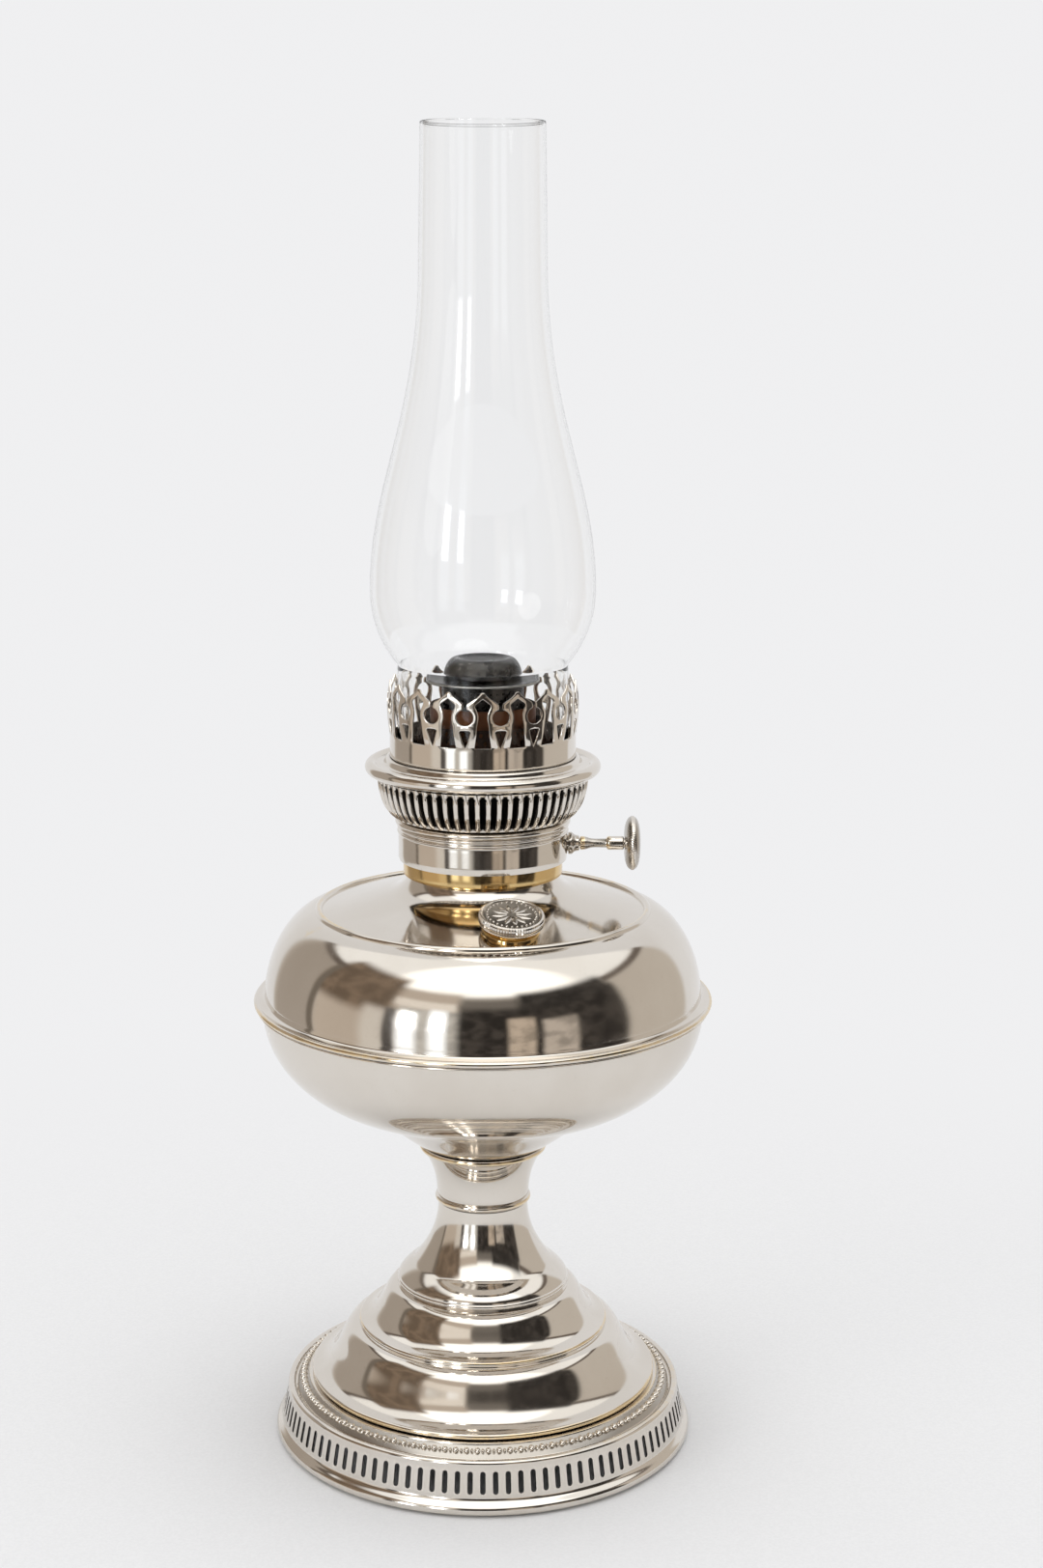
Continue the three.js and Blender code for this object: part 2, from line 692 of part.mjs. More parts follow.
function wickCarrier() {
  return tube(carrierBore, carrierRadius, carrierTop - CARRIER_LENGTH, carrierTop, TUBE_FACETS);
}

// Rack: a bar with teeth towards the pinion, and an arm to the carrier, as one plate.
function wickRack() {
  const outline = [];
  for (let i = 0; i < RACK_TEETH; i += 1) {
    const middle = shaftHeight + (i - Math.floor(RACK_TEETH / 2)) * toothPitch;
    outline.push(at(rackFace, middle - TOOTH_ROOT / 2));
    outline.push(at(rackFace + TOOTH_DEPTH + TOOTH_REACH, middle - TOOTH_TIP / 2));
    outline.push(at(rackFace + TOOTH_DEPTH + TOOTH_REACH, middle + TOOTH_TIP / 2));
    outline.push(at(rackFace, middle + TOOTH_ROOT / 2));
  }
  const foot = outline[0].y - toothPitch / 4;
  const top = rackTop;
  outline.unshift(at(rackFace, foot));
  outline.push(at(rackFace, top));
  outline.push(at(rackBack, top));
  outline.push(at(rackBack, foot));
  const bar = radialPrism(outline, pinionFoot, pinionTop);
  const near = Math.sqrt(carrierRadius ** 2 - rackFace ** 2) + SEAT;
  const arm = block(
    new THREE.Vector3(near, rackBack, top - armDepth),
    new THREE.Vector3(pinionFoot + PINION_WIDTH / 2, rackFace, top),
  );
  return toGeometry(toSolid(bar).add(toSolid(arm)));
}

function burnerCollar() {
  const outer = [
    at(burnerRadius, burnerFoot),
    ...roll(burnerRadius, burnerTop - BURNER_BEAD, BURNER_BEAD, -90, 90, 2),
  ];
  const ledge = burnerBore - BURNER_LEDGE;
  const body = turned([
    at(ledge, burnerFoot),
    ...outer,
    at(burnerBore, burnerTop),
    at(burnerBore, burnerFoot + SHEET),
    at(ledge, burnerFoot + SHEET),
  ], BURNER_FACETS);
  const bore = SHAFT_RADIUS + RUN + GLAND_SPIGOT_WALL + SEAT;
  const hole = new THREE.CylinderGeometry(bore, bore, burnerRadius, SHAFT_FACETS)
    .rotateZ(Math.PI / 2)
    .translate(burnerRadius, 0, shaftHeight);
  return cut(body, hole);
}

const deckFoot = burnerFoot + SHEET + SEAT;

// The deck ties the wick tube to the collar, and is notched for the pinion, shaft and rack.
function burnerDeck() {
  const plate = tube(wickTubeRadius + SEAT, burnerBore - SEAT, deckFoot, deckFoot + SHEET, BURNER_FACETS);
  const tip = pitchRadius + TOOTH_REACH;
  const notch = block(
    new THREE.Vector3(0, rackBack - 2 * RUN, deckFoot - PASS),
    new THREE.Vector3(burnerRadius + PASS, tip + 2 * RUN, deckFoot + PASS),
  );
  return cut(plate, notch);
}

// Wick raiser: the pieces below are turned about the shaft, with +Z of their frame along +X.

const glandFace = burnerRadius + SEAT;
const glandEnd = glandFace + GLAND_LENGTH;
const knobFace = glandFace + SHAFT_REACH;
const tenonRadius = SHAFT_RADIUS - RUN;

function shaftGland() {
  const bore = SHAFT_RADIUS + RUN;
  const spigot = bore + GLAND_SPIGOT_WALL;
  return turned([
    at(bore, burnerBore - SHEET),
    at(spigot, burnerBore - SHEET),
    at(spigot, glandFace),
    at(GLAND_RADIUS, glandFace),
    at(GLAND_RADIUS, glandEnd - SHEET),
    at(GLAND_RADIUS - SHEET, glandEnd),
    at(bore, glandEnd),
  ], SHAFT_FACETS);
}

// A cone by the gland, a slender waist and a sleeve by the knob.
function knobShaft() {
  const start = glandEnd + SEAT;
  const sleeve = knobFace - SHAFT_SLEEVE;
  return turnedSolid([
    at(0, pinionFoot - SEAT),
    at(SHAFT_RADIUS, pinionFoot - SEAT),
    at(SHAFT_RADIUS, start),
    at(SHAFT_END_RADIUS, start),
    at(SHAFT_END_RADIUS, start + SHAFT_CONE * 0.3),
    at(SHAFT_WAIST_RADIUS, start + SHAFT_CONE),
    at(SHAFT_WAIST_RADIUS, sleeve - SHEET / 2),
    at(SHAFT_END_RADIUS, sleeve + SHEET / 2),
    at(SHAFT_END_RADIUS, knobFace),
    at(tenonRadius, knobFace),
    at(tenonRadius, knobFace + KNOB_WIDTH / 2),
    at(0, knobFace + KNOB_WIDTH / 2),
  ], SHAFT_FACETS);
}

// Lens-shaped disc on the tenon of the shaft.
function wickKnob() {
  const foot = knobFace + SEAT;
  const top = foot + KNOB_WIDTH;
  const bore = tenonRadius + SEAT;
  const floor = knobFace + KNOB_WIDTH / 2 + SEAT;
  return turnedSolid([
    at(0, floor),
    at(bore, floor),
    at(bore, foot),
    at(KNOB_HUB_RADIUS, foot),
    at(KNOB_RADIUS - KNOB_EDGE, foot + KNOB_WIDTH * 0.32),
    at(KNOB_RADIUS, foot + KNOB_WIDTH * 0.44),
    at(KNOB_RADIUS, foot + KNOB_WIDTH * 0.66),
    at(KNOB_RADIUS - KNOB_EDGE, foot + KNOB_WIDTH * 0.78),
    at(KNOB_RADIUS * 0.55, top - KNOB_WIDTH * 0.05),
    at(0, top),
  ], BURNER_FACETS);
}

// Pinion, with a tooth space towards the rack at rest.
function drivePinion() {
  const outline = [];
  const root = pitchRadius - TOOTH_DEPTH;
  const tip = pitchRadius + TOOTH_REACH;
  for (let i = 0; i < GEAR_TEETH; i += 1) {
    const angle = ((i + 0.5) * 2 * Math.PI) / GEAR_TEETH - Math.PI / 2;
    for (const [radius, side] of [[root, -TOOTH_ROOT], [tip, -TOOTH_TIP], [tip, TOOTH_TIP], [root, TOOTH_ROOT]]) {
      const turn = angle + side / 2 / radius;
      outline.push(at(radius * Math.cos(turn), radius * Math.sin(turn)));
    }
  }
  const shape = new THREE.Shape(outline);
  shape.holes.push(new THREE.Path().absarc(0, 0, SHAFT_RADIUS + SEAT, 0, 2 * Math.PI, true));
  return new THREE.ExtrudeGeometry(shape, { depth: PINION_WIDTH, bevelEnabled: false, curveSegments: SHAFT_FACETS })
    .translate(0, 0, pinionFoot);
}

// Gallery

// Ribbed bowl, with a spigot that stands in the burner collar.
function draughtBasket() {
  const spigotRadius = burnerBore - 2 * RUN;
  const outer = [
    at(spigotRadius, basketFoot - SPIGOT_DEPTH),
    at(spigotRadius, basketFoot),
    at(burnerRadius, basketFoot),
    at(burnerRadius + BASKET_BEND, basketFoot + BASKET_BEND),
    at(basketTopRadius, basketTop),
  ];
  const inner = offset(outer, SHEET);
  inner[0].y = basketFoot - SPIGOT_DEPTH;
  inner[inner.length - 1].y = basketTop;
  const wall = outer.length - 2;
  const margin = BASKET_BAND / (BASKET_RISE - BASKET_BEND);
  const pitch = (2 * Math.PI * basketTopRadius) / BASKET_FACETS;
  const slots = slotRow(BASKET_SLOTS_PER_FACET, BASKET_SLOT_WIDTH / pitch, wall + margin / 2, wall + 1 - margin);
  const panels = outer.slice(1).map((_, row) => panel(row, row + 1, row === wall ? slots : []));
  return wrapped(panels, BASKET_FACETS, (row) => along(outer, row), (row) => along(inner, row));
}

// The rim carries a shade ring on its flat seat, and the chimney on its floor.
function galleryRim() {
  const beadMiddle = at(rimRadius - RIM_BEAD, rimSeat - RIM_BEAD * 0.6);
  const seatOuter = rimRadius - 1.6 * RIM_BEAD;
  const floorEdge = coronetRadius + 2 * SHEET;
  return turned([
    at(FITTER_RADIUS - GLASS_WALL - SHEET, floorTop - SHEET),
    at(coronetRadius, floorTop - SHEET),
    at(coronetRadius + SHEET, rimSeat - SHEET),
    at(basketTopRadius - 2 * SHEET, rimSeat - SHEET),
    at(basketTopRadius - 2 * SHEET, rimFoot),
    at(basketTopRadius, rimFoot),
    ...roll(beadMiddle.x, beadMiddle.y, RIM_BEAD, -50, 90, 3),
    at(seatOuter, rimSeat),
    at(floorEdge, rimSeat),
    at(floorEdge - SHEET, floorTop),
    at(FITTER_RADIUS - GLASS_WALL - SHEET, floorTop),
  ], BASKET_FACETS);
}

// Pierced crown: pointed arches with eyes between them, keyholes inside them and darts below.
// One arch points to the front.
function chimneyCoronet() {
  const bandTop = coronetFoot + CORONET_BAND;
  const eye = bandTop + EYE_RISE;
  const brow = eye + ARCH_EYE_RADIUS + ARCH_SLIT;
  const dartTop = eye - ARCH_EYE_RADIUS - ARCH_STRAP;
  const pitch = (2 * Math.PI * coronetRadius) / ARCHES;
  const slot = pitch / 2 - ARCH_EYE_RADIUS - ARCH_STRAP;
  const slit = THREE.MathUtils.radToDeg(Math.asin(ARCH_SLIT / 2 / ARCH_EYE_RADIUS));
  const mirrored = (points) => points.map((point) => at(-point.x, point.y)).reverse();
  const side = [
    at(pitch / 2, coronetFoot),
    at(pitch / 2, bandTop + ARCH_SLIT / 2),
    at(pitch / 2 - ARCH_EYE_RADIUS * 0.85, dartTop),
    at(pitch / 2, dartTop),
    ...roll(pitch / 2, eye, ARCH_EYE_RADIUS, -90, -270 + slit, 3),
    at(pitch / 2 - ARCH_SLIT / 2, brow),
    at(ARCH_TIP_WIDTH / 2, coronetTop),
  ];
  const keyhole = [
    at(pitch / 4, bandTop),
    at(slot, eye - ARCH_EYE_RADIUS),
    at(slot, eye + ARCH_EYE_RADIUS / 3),
    at(slot + ARCH_STRAP / 2, brow - ARCH_SLIT / 2),
  ];
  const share = (points) => points.map((point) => at(point.x / pitch, point.y));
  const arch = {
    outline: share([...side, ...mirrored(side)]),
    holes: [share([...keyhole, at(0, coronetTop - ARCH_STRAP), ...mirrored(keyhole)])],
  };
  const radiusAt = (z) => {
    const climb = Math.max(z - bandTop, 0) / EYE_RISE;
    return coronetRadius + CORONET_BOW * climb * (2 - climb) - CORONET_TIP_DRAW * Math.max(climb - 1, 0);
  };
  return wrapped([arch], ARCHES, (z) => at(radiusAt(z), z), (z) => at(radiusAt(z) - CORONET_SHEET, z))
    .rotateZ(-Math.PI / 2);
}

function airCone() {
  const radius = FITTER_RADIUS - GLASS_WALL - 2 * SEAT;
  const foot = floorTop + SEAT;
  const outer = [
    at(radius, foot),
    at(radius, foot + SHEET),
    at(radius - 2 * SHEET, foot + SHEET),
    at(coneTopRadius, foot + AIR_CONE_RISE),
  ];
  return turned([
    ...outer,
    at(coneTopRadius - SHEET, foot + AIR_CONE_RISE),
    at(radius - 3 * SHEET, foot),
  ], BURNER_FACETS);
}

// Glass

function glassChimney() {
  const up = (r, z) => at(r, chimneyFoot + z);
  const fitter = up(FITTER_RADIUS, FITTER_HEIGHT);
  const bulb = up(BULB_RADIUS, BULB_HEIGHT);
  const flue = up(FLUE_RADIUS, chimneyHeight - FLUE_LENGTH);
  const lift = BULB_HEIGHT - FITTER_HEIGHT;
  const draw = flue.y - bulb.y;
  const hip = up(FITTER_RADIUS + 0.26 * (BULB_RADIUS - FITTER_RADIUS), FITTER_HEIGHT + 0.14 * lift);
  const belly = up(BULB_RADIUS, FITTER_HEIGHT + 0.45 * lift);
  const brow = up(BULB_RADIUS, BULB_HEIGHT + 0.34 * draw);
  const throat = up(FLUE_RADIUS + 0.1 * (BULB_RADIUS - FLUE_RADIUS), BULB_HEIGHT + 0.54 * draw);
  const wall = (hipSteps, flueSteps) => [
    up(FITTER_RADIUS, 0),
    fitter,
    ...sweep(fitter, hip, belly, bulb, hipSteps),
    ...sweep(bulb, brow, throat, flue, flueSteps),
    up(CHIMNEY_TOP_RADIUS, chimneyHeight),
  ];
  return shell(wall(4, 6), GLASS_WALL, GLASS_FACETS, wall(3, 5));
}

// Flame spreader

const thimbleFoot = draughtTop + SEAT;
const thimbleTop = thimbleFoot + THIMBLE_HEIGHT;
const flangeFoot = thimbleTop + SEAT;
const flangeTop = flangeFoot + SPREADER_FLANGE_THICKNESS;

function spreaderThimble() {
  const spigot = draughtBore - RUN;
  const bore = spigot - TUBE_WALL;
  const body = turned([
    at(bore, thimbleFoot - SPREADER_SPIGOT),
    at(spigot, thimbleFoot - SPREADER_SPIGOT),
    at(spigot, thimbleFoot),
    at(DRAUGHT_RADIUS, thimbleFoot),
    at(DRAUGHT_RADIUS, thimbleTop),
    at(bore, thimbleTop),
  ], TUBE_FACETS);
  const z = thimbleFoot + THIMBLE_HEIGHT / 2;
  const diamond = [at(THIMBLE_HOLE, z), at(0, z + THIMBLE_HOLE), at(-THIMBLE_HOLE, z), at(0, z - THIMBLE_HOLE)];
  const hole = radialPrism(diamond, bore - PASS, DRAUGHT_RADIUS + PASS);
  return cut(body, around(hole, THIMBLE_HOLES, Math.PI / THIMBLE_HOLES));
}

function spreaderFlange() {
  const edge = SPREADER_FLANGE_THICKNESS / 2;
  return turnedSolid([
    at(0, flangeFoot),
    at(spreaderFlangeRadius - edge, flangeFoot),
    at(spreaderFlangeRadius, flangeFoot + edge),
    at(spreaderFlangeRadius - edge, flangeTop),
    at(0, flangeTop),
  ], BURNER_FACETS);
}

function spreaderCap() {
  const foot = flangeTop + SEAT;
  const radius = DRAUGHT_RADIUS - SPREADER_CAP_EDGE;
  const top = foot + SPREADER_CAP_HEIGHT;
  return turnedSolid([
    at(0, foot),
    at(radius, foot),
    at(radius, foot + SPREADER_CAP_HEIGHT * 0.5),
    at(radius * 0.95, foot + SPREADER_CAP_HEIGHT * 0.82),
    at(radius * 0.84, top),
    at(radius * 0.66, top - SHEET),
    at(0, top - 1.5 * SHEET),
  ], BURNER_FACETS);
}

// Assembly

const lamp = new THREE.Group();
lamp.add(
  piece('slotted_foot', slottedFoot(), nickel),
  piece('pedestal_shell', pedestalShell(), nickel),
  piece('stem_spool', stemSpool(), nickel),
  piece('font_lower_shell', fontLowerShell(), nickel),
  piece('font_upper_shell', fontUpperShell(), nickel),
  piece('font_collar', fontCollar(), brass),
  piece('draught_tube', draughtTube(), brass),
  piece('outer_wick_tube', outerWickTube(), brownedBrass),
  piece('burner_collar', burnerCollar(), nickel),
  piece('burner_deck', burnerDeck(), brass),
  piece('wick', wick(), cotton),
  piece('wick_carrier', wickCarrier(), brass),
  piece('wick_rack', wickRack(), brass),
  piece('draught_basket', draughtBasket(), nickel),
  piece('gallery_rim', galleryRim(), nickel),
  piece('chimney_coronet', chimneyCoronet(), nickel),
  piece('air_cone', airCone(), brownedBrass),
  piece('glass_chimney', glassChimney(), clearGlass),
  piece('spreader_thimble', spreaderThimble(), blackIron),
  piece('spreader_flange', spreaderFlange(), blackIron),
  piece('spreader_cap', spreaderCap(), blackIron),
);

const raiser = new THREE.Group();
raiser.position.z = shaftHeight;
raiser.rotation.y = Math.PI / 2;
raiser.add(
  piece('shaft_gland', shaftGland(), nickel),
  piece('knob_shaft', knobShaft(), nickel),
  piece('wick_knob', wickKnob(), nickel),
  piece('drive_pinion', drivePinion(), brass),
);
lamp.add(raiser);

const filler = fillerFrame();
filler.add(
  piece('filler_neck', fillerNeck(), brass),
  piece('filler_gasket', fillerGasket(), cork),
  piece('filler_cap', fillerCap(), nickel),
);
lamp.add(filler);

export default lamp;
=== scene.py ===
"""Dresses the centre-draught kerosene table lamp in nickel, brass, blackened iron and clear glass.

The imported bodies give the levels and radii. The pieces made here are the smooth, pierced and worn
surfaces that ride on them. Lengths are millimetres, apart from those of finished meshes and of the
studio, which are metres.
"""

import json
import logging
import math
from dataclasses import dataclass, field
from enum import Enum
from itertools import accumulate
from typing import Any, Callable, ClassVar, Protocol, Sequence

import bmesh
import bpy
from mathutils import Matrix, Vector
from mathutils.geometry import delaunay_2d_cdt


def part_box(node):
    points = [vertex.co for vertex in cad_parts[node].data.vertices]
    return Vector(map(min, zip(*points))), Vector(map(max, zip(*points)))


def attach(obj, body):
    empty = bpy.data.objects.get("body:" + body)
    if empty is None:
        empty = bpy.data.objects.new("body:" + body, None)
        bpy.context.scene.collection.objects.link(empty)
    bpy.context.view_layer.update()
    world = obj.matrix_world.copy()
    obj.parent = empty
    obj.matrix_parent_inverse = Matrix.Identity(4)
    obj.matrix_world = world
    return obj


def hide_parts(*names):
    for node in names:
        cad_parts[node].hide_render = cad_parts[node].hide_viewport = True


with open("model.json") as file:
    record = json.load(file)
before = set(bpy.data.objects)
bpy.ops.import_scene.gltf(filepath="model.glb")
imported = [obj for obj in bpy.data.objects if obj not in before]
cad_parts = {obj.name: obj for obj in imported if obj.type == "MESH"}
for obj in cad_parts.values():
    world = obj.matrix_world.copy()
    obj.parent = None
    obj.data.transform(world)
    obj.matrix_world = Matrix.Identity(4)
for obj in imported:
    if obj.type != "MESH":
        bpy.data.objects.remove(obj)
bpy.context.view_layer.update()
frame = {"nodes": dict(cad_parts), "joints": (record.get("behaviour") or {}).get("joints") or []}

log = logging.getLogger("lamp")

MM = 0.001
RUBBED = "rubbed"
SHARP_ANGLE = math.radians(34)
CUT_ANGLE = math.radians(50)
WELD = 0.00001
NEAR = 1e-6
SEAM_REACH = 1e-4
CUT_REACH = 0.01
FILL_REACH = 1e-5
SLOT_STEPS = 5

# Edges and wear that many pieces share: a turned edge's chamfer, the play between two pieces, painted
# shade on a sheet's unplated inner face, and painted shade on the wick tube and slot edges that also
# darkens the air cone.
CHAMFER = 0.3
PLAY = 0.3
SHADED_LINING = -1.0
SOOT_AND_SHADE = -0.8

Pair = tuple[float, float]
Point = Pair
Colour = tuple[float, float, float]
Loop = list[Point]


class Body(Enum):
    """Bodies of the lamp that move apart."""

    LAMP = "lamp_body"
    WICK = "wick_carriage"
    KNOB = "knob"
    GALLERY = "gallery"
    CHIMNEY = "chimney"
    SPREADER = "flame_spreader"
    SEAL = "filler_seal"
    LID = "filler_lid"


class Slot(Enum):
    """Material slots of the record."""

    NICKEL = "nickel"
    BRASS = "bare_brass"
    BROWNED = "browned_brass"
    IRON = "black_iron"
    GLASS = "clear_glass"
    COTTON = "cotton"
    CORK = "cork"


@dataclass(frozen=True)
class Span:
    """Radius and levels that a node takes up in the frame."""

    radius: float
    foot: float
    top: float


def span(node: str) -> Span:
    """Reads a node's radius and levels from the frame, in millimetres."""
    low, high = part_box(node)
    return Span(max(-low.y, high.y) / MM, low.z / MM, high.z / MM)


def joint(name: str) -> dict[str, Any]:
    """Finds a joint of the frame by its name."""
    return next(item for item in frame["joints"] if item["name"] == name)


def filler_place() -> Matrix:
    """Finds the filler's own frame, square to the sloping dish.

    Returns:
        Its place in metres, with the cap's axis along Z.
    """
    turn = joint("filler_turn")
    axis = Vector(turn["axis"]).normalized()
    out = Vector((axis.x, axis.y, 0.0)).normalized()
    side = axis.cross(out).normalized()
    tilt = Matrix((side.cross(axis), side, axis)).transposed().to_4x4()
    return Matrix.Translation(Vector(turn["pos_m"])) @ tilt


def shaft_place() -> Matrix:
    """Finds the shaft's own frame, in metres, with its Z along the lamp's +X."""
    height = joint("knob_turn")["pos_m"][2]
    return Matrix.Translation((0.0, 0.0, height)) @ Matrix.Rotation(math.pi / 2, 4, "Y")


# Outlines


@dataclass
class Outline:
    """Path of a sheet or turned surface, as radius, height and how far its plating is rubbed.

    Wear runs from 0, sound plating, to 1, bare metal. Below 0 it darkens towards the near-black lining
    colour: dirt in some hollows, painted shade on inner faces, hidden tubes and slot edges.
    """

    points: list[tuple[float, ...]] = field(default_factory=list)

    def to(self, *points: Sequence[float]) -> "Outline":
        """Goes straight to points, each a radius, a height and, where it has some, its wear."""
        self.points.extend((*point, 0.0)[:3] for point in points)
        return self

    def straight(self, radius: float, height: float, steps: int) -> "Outline":
        """Goes straight to a point in even steps, so that long glass keeps true normals.

        Args:
            radius: Radius at the end.
            height: Height at the end.
            steps: Number of points made.

        Returns:
            The outline itself.
        """
        start = self.points[-1]
        for step in range(1, steps + 1):
            share = step / steps
            self.to((start[0] + (radius - start[0]) * share, start[1] + (height - start[1]) * share))
        return self

    def curve(self, first: Point, second: Point, end: Point, steps: int,
              rubbed: float = 0.0) -> "Outline":
        """Goes to a point along a cubic curve.

        Args:
            first: Control point next to the start.
            second: Control point next to the end.
            end: Where the curve stops.
            steps: Number of points made.
            rubbed: Wear along the curve.

        Returns:
            The outline itself.
        """
        stops = (self.points[-1], first, second, end)
        for step in range(1, steps + 1):
            t = step / steps
            weights = ((1 - t) ** 3, 3 * (1 - t) ** 2 * t, 3 * (1 - t) * t * t, t ** 3)
            radius, height = (sum(w * p[axis] for w, p in zip(weights, stops)) for axis in (0, 1))
            self.to((radius, height, rubbed))
        return self

    def roll(self, middle: Point, radius: float, start: float, end: float, steps: int,
             rubbed: float = 0.0) -> "Outline":
        """Goes round an arc, with most wear on its crest.

        Args:
            middle: Centre of the arc.
            radius: Radius of the arc.
            start: First angle in degrees, 0 pointing outwards.
            end: Last angle in degrees.
            steps: Number of steps along the arc.
            rubbed: Wear at the crest.

        Returns:
            The outline itself.
        """
        for step in range(steps + 1):
            share = step / steps
            angle = math.radians(start + (end - start) * share)
            across, along = radius * math.cos(angle), radius * math.sin(angle)
            self.to((middle[0] + across, middle[1] + along, rubbed * math.sin(math.pi * share)))
        return self

    def lengths(self) -> list[float]:
        """Distance along the path at each point."""
        steps = (math.hypot(b[0] - a[0], b[1] - a[1]) for a, b in zip(self.points, self.points[1:]))
        return list(accumulate(steps, initial=0.0))

    def normals(self) -> list[Point]:
        """Finds the unit normal at each point, to the right of the path.

        Returns:
            The normals, in the order of the points.
        """
        found = []
        for index, point in enumerate(self.points):
            before = self.points[max(index - 1, 0)]
            after = self.points[min(index + 1, len(self.points) - 1)]
            first = Vector((point[0] - before[0], point[1] - before[1]))
            second = Vector((after[0] - point[0], after[1] - point[1]))
            way = first.normalized() + second.normalized()
            way = way.normalized() if way.length > NEAR else Vector((0.0, 1.0))
            found.append((way.y, -way.x))
        return found

    def walled(self, wall: float, lining: float = SHADED_LINING) -> "Outline":
        """Closes the path into the section of a sheet.

        Args:
            wall: Thickness of the sheet, to the left of the path.
            lining: Wear of the inner face, painted shade where it is below 0.

        Returns:
            A closed outline, out along the path and back inside it.
        """
        heights = [point[1] for point in self.points]
        low, high = min(heights), max(heights)
        inside = []
        for (radius, height, _), (out, up) in zip(self.points, self.normals()):
            inside.append((radius - out * wall, min(max(height - up * wall, low), high), lining))
        return Outline([*self.points, *reversed(inside)])

    def height_at(self, height: float, start: int, end: int) -> float:
        """Finds where the path passes a height.

        Args:
            height: Height that is looked for.
            start: Index of the first point of the stretch.
            end: Index of its last point.

        Returns:
            The distance from the start of the path.
        """
        sums = self.lengths()
        for index in range(start, end):
            low = self.points[index][1]
            high = self.points[index + 1][1]
            if low <= height <= high:
                share = (height - low) / (high - low)
                return sums[index] + share * (sums[index + 1] - sums[index])
        return sums[end]


def ellipse(middle: Point, wide: float, tall: float, steps: int) -> Loop:
    """Draws the closed loop of an ellipse laid flat."""
    turns = [2 * math.pi * step / steps for step in range(steps)]
    return [(middle[0] + wide * math.cos(t), middle[1] + tall * math.sin(t)) for t in turns]


def rounded_slot(middle: Point, width: float, height: float) -> Loop:
    """Draws an upright slot with round ends, laid flat.

    Args:
        middle: Centre of the slot.
        width: Its width.
        height: Its height over the round ends.

    Returns:
        The closed loop round it.
    """
    radius = width / 2
    reach = height / 2 - radius
    loop = []
    for side, start in ((1, 0.0), (-1, math.pi)):
        for step in range(SLOT_STEPS + 1):
            angle = start + math.pi * step / SLOT_STEPS
            across, along = radius * math.cos(angle), radius * math.sin(angle)
            loop.append((middle[0] + across, middle[1] + side * reach + along))
    return loop


def staggered(rows: Sequence[float], offset: float, wide: float, tall: float, steps: int) -> list[Loop]:
    """Draws round holes one above the other, to each side of the middle by turns.

    Args:
        rows: Heights of the holes.
        offset: How far the first one stands to the right.
        wide: Half width of a hole.
        tall: Half height of a hole.
        steps: Number of points round it.

    Returns:
        A closed loop for each hole.
    """
    return [ellipse((offset * (-1) ** row, y), wide, tall, steps) for row, y in enumerate(rows)]


def even_columns(count: int) -> list[float]:
    """Places of a number of even columns across a repeat, as shares of its width."""
    return [step / count - 0.5 for step in range(count + 1)]


def milling(depth: float, rows: Sequence[int]) -> Callable[[float, int], float]:
    """Makes the flutes of a milled edge.

    Args:
        depth: Depth of a flute.
        rows: Points of the outline that are milled.

    Returns:
        The depth at a share of a repeat and a point of the outline.
    """
    def flute(share: float, index: int) -> float:
        """Depth of the flute, which is deepest between two ribs."""
        return depth * (0.5 + 0.5 * math.cos(math.tau * share)) if index in rows else 0.0

    return flute


# Meshes


def within(point: Point, loop: Sequence[Point]) -> bool:
    """Tells whether a flat point lies inside a closed loop.

    Args:
        point: The point.
        loop: The loop.

    Returns:
        True where it lies inside.
    """
    x, y = point
    inside = False
    for (ax, ay), (bx, by) in zip(loop, [*loop[1:], loop[0]]):
        if (ay > y) != (by > y) and x < (bx - ax) * (y - ay) / (by - ay) + ax:
            inside = not inside
    return inside


def clear_of(point: Point, loops: Sequence[Sequence[Point]], room: float) -> bool:
    """Tells whether a flat point keeps its distance from every loop.

    Args:
        point: The point.
        loops: The loops.
        room: The least distance.

    Returns:
        True where it is clear of them all.
    """
    spot = Vector(point)
    for loop in loops:
        for a, b in zip(loop, [*loop[1:], loop[0]]):
            start = Vector(a)
            way = Vector(b) - start
            share = (spot - start).dot(way) / max(way.length_squared, NEAR * NEAR)
            if (start + way * max(0.0, min(1.0, share)) - spot).length < room:
                return False
    return True


def raw_mesh(name: str, spots: Sequence[Sequence[float]], faces: Sequence[Sequence[int]],
             rubbed: Sequence[float]) -> bpy.types.Mesh:
    """Makes a mesh in metres from points in millimetres.

    Args:
        name: Name of the mesh.
        spots: Points of the mesh.
        faces: Faces as indices.
        rubbed: Wear at each point.

    Returns:
        The mesh, with the wear as an attribute.
    """
    mesh = bpy.data.meshes.new(name)
    mesh.from_pydata([[c * MM for c in spot] for spot in spots], [], faces)
    layer = mesh.attributes.new(RUBBED, "FLOAT", "POINT")
    layer.data.foreach_set("value", list(rubbed))
    return mesh


class Form(Protocol):
    """A shape that is given by one of its repeats round an axis."""

    repeats: int

    def unit(self, name: str) -> bpy.types.Mesh:
        """Makes the mesh of one repeat, on the +X side."""


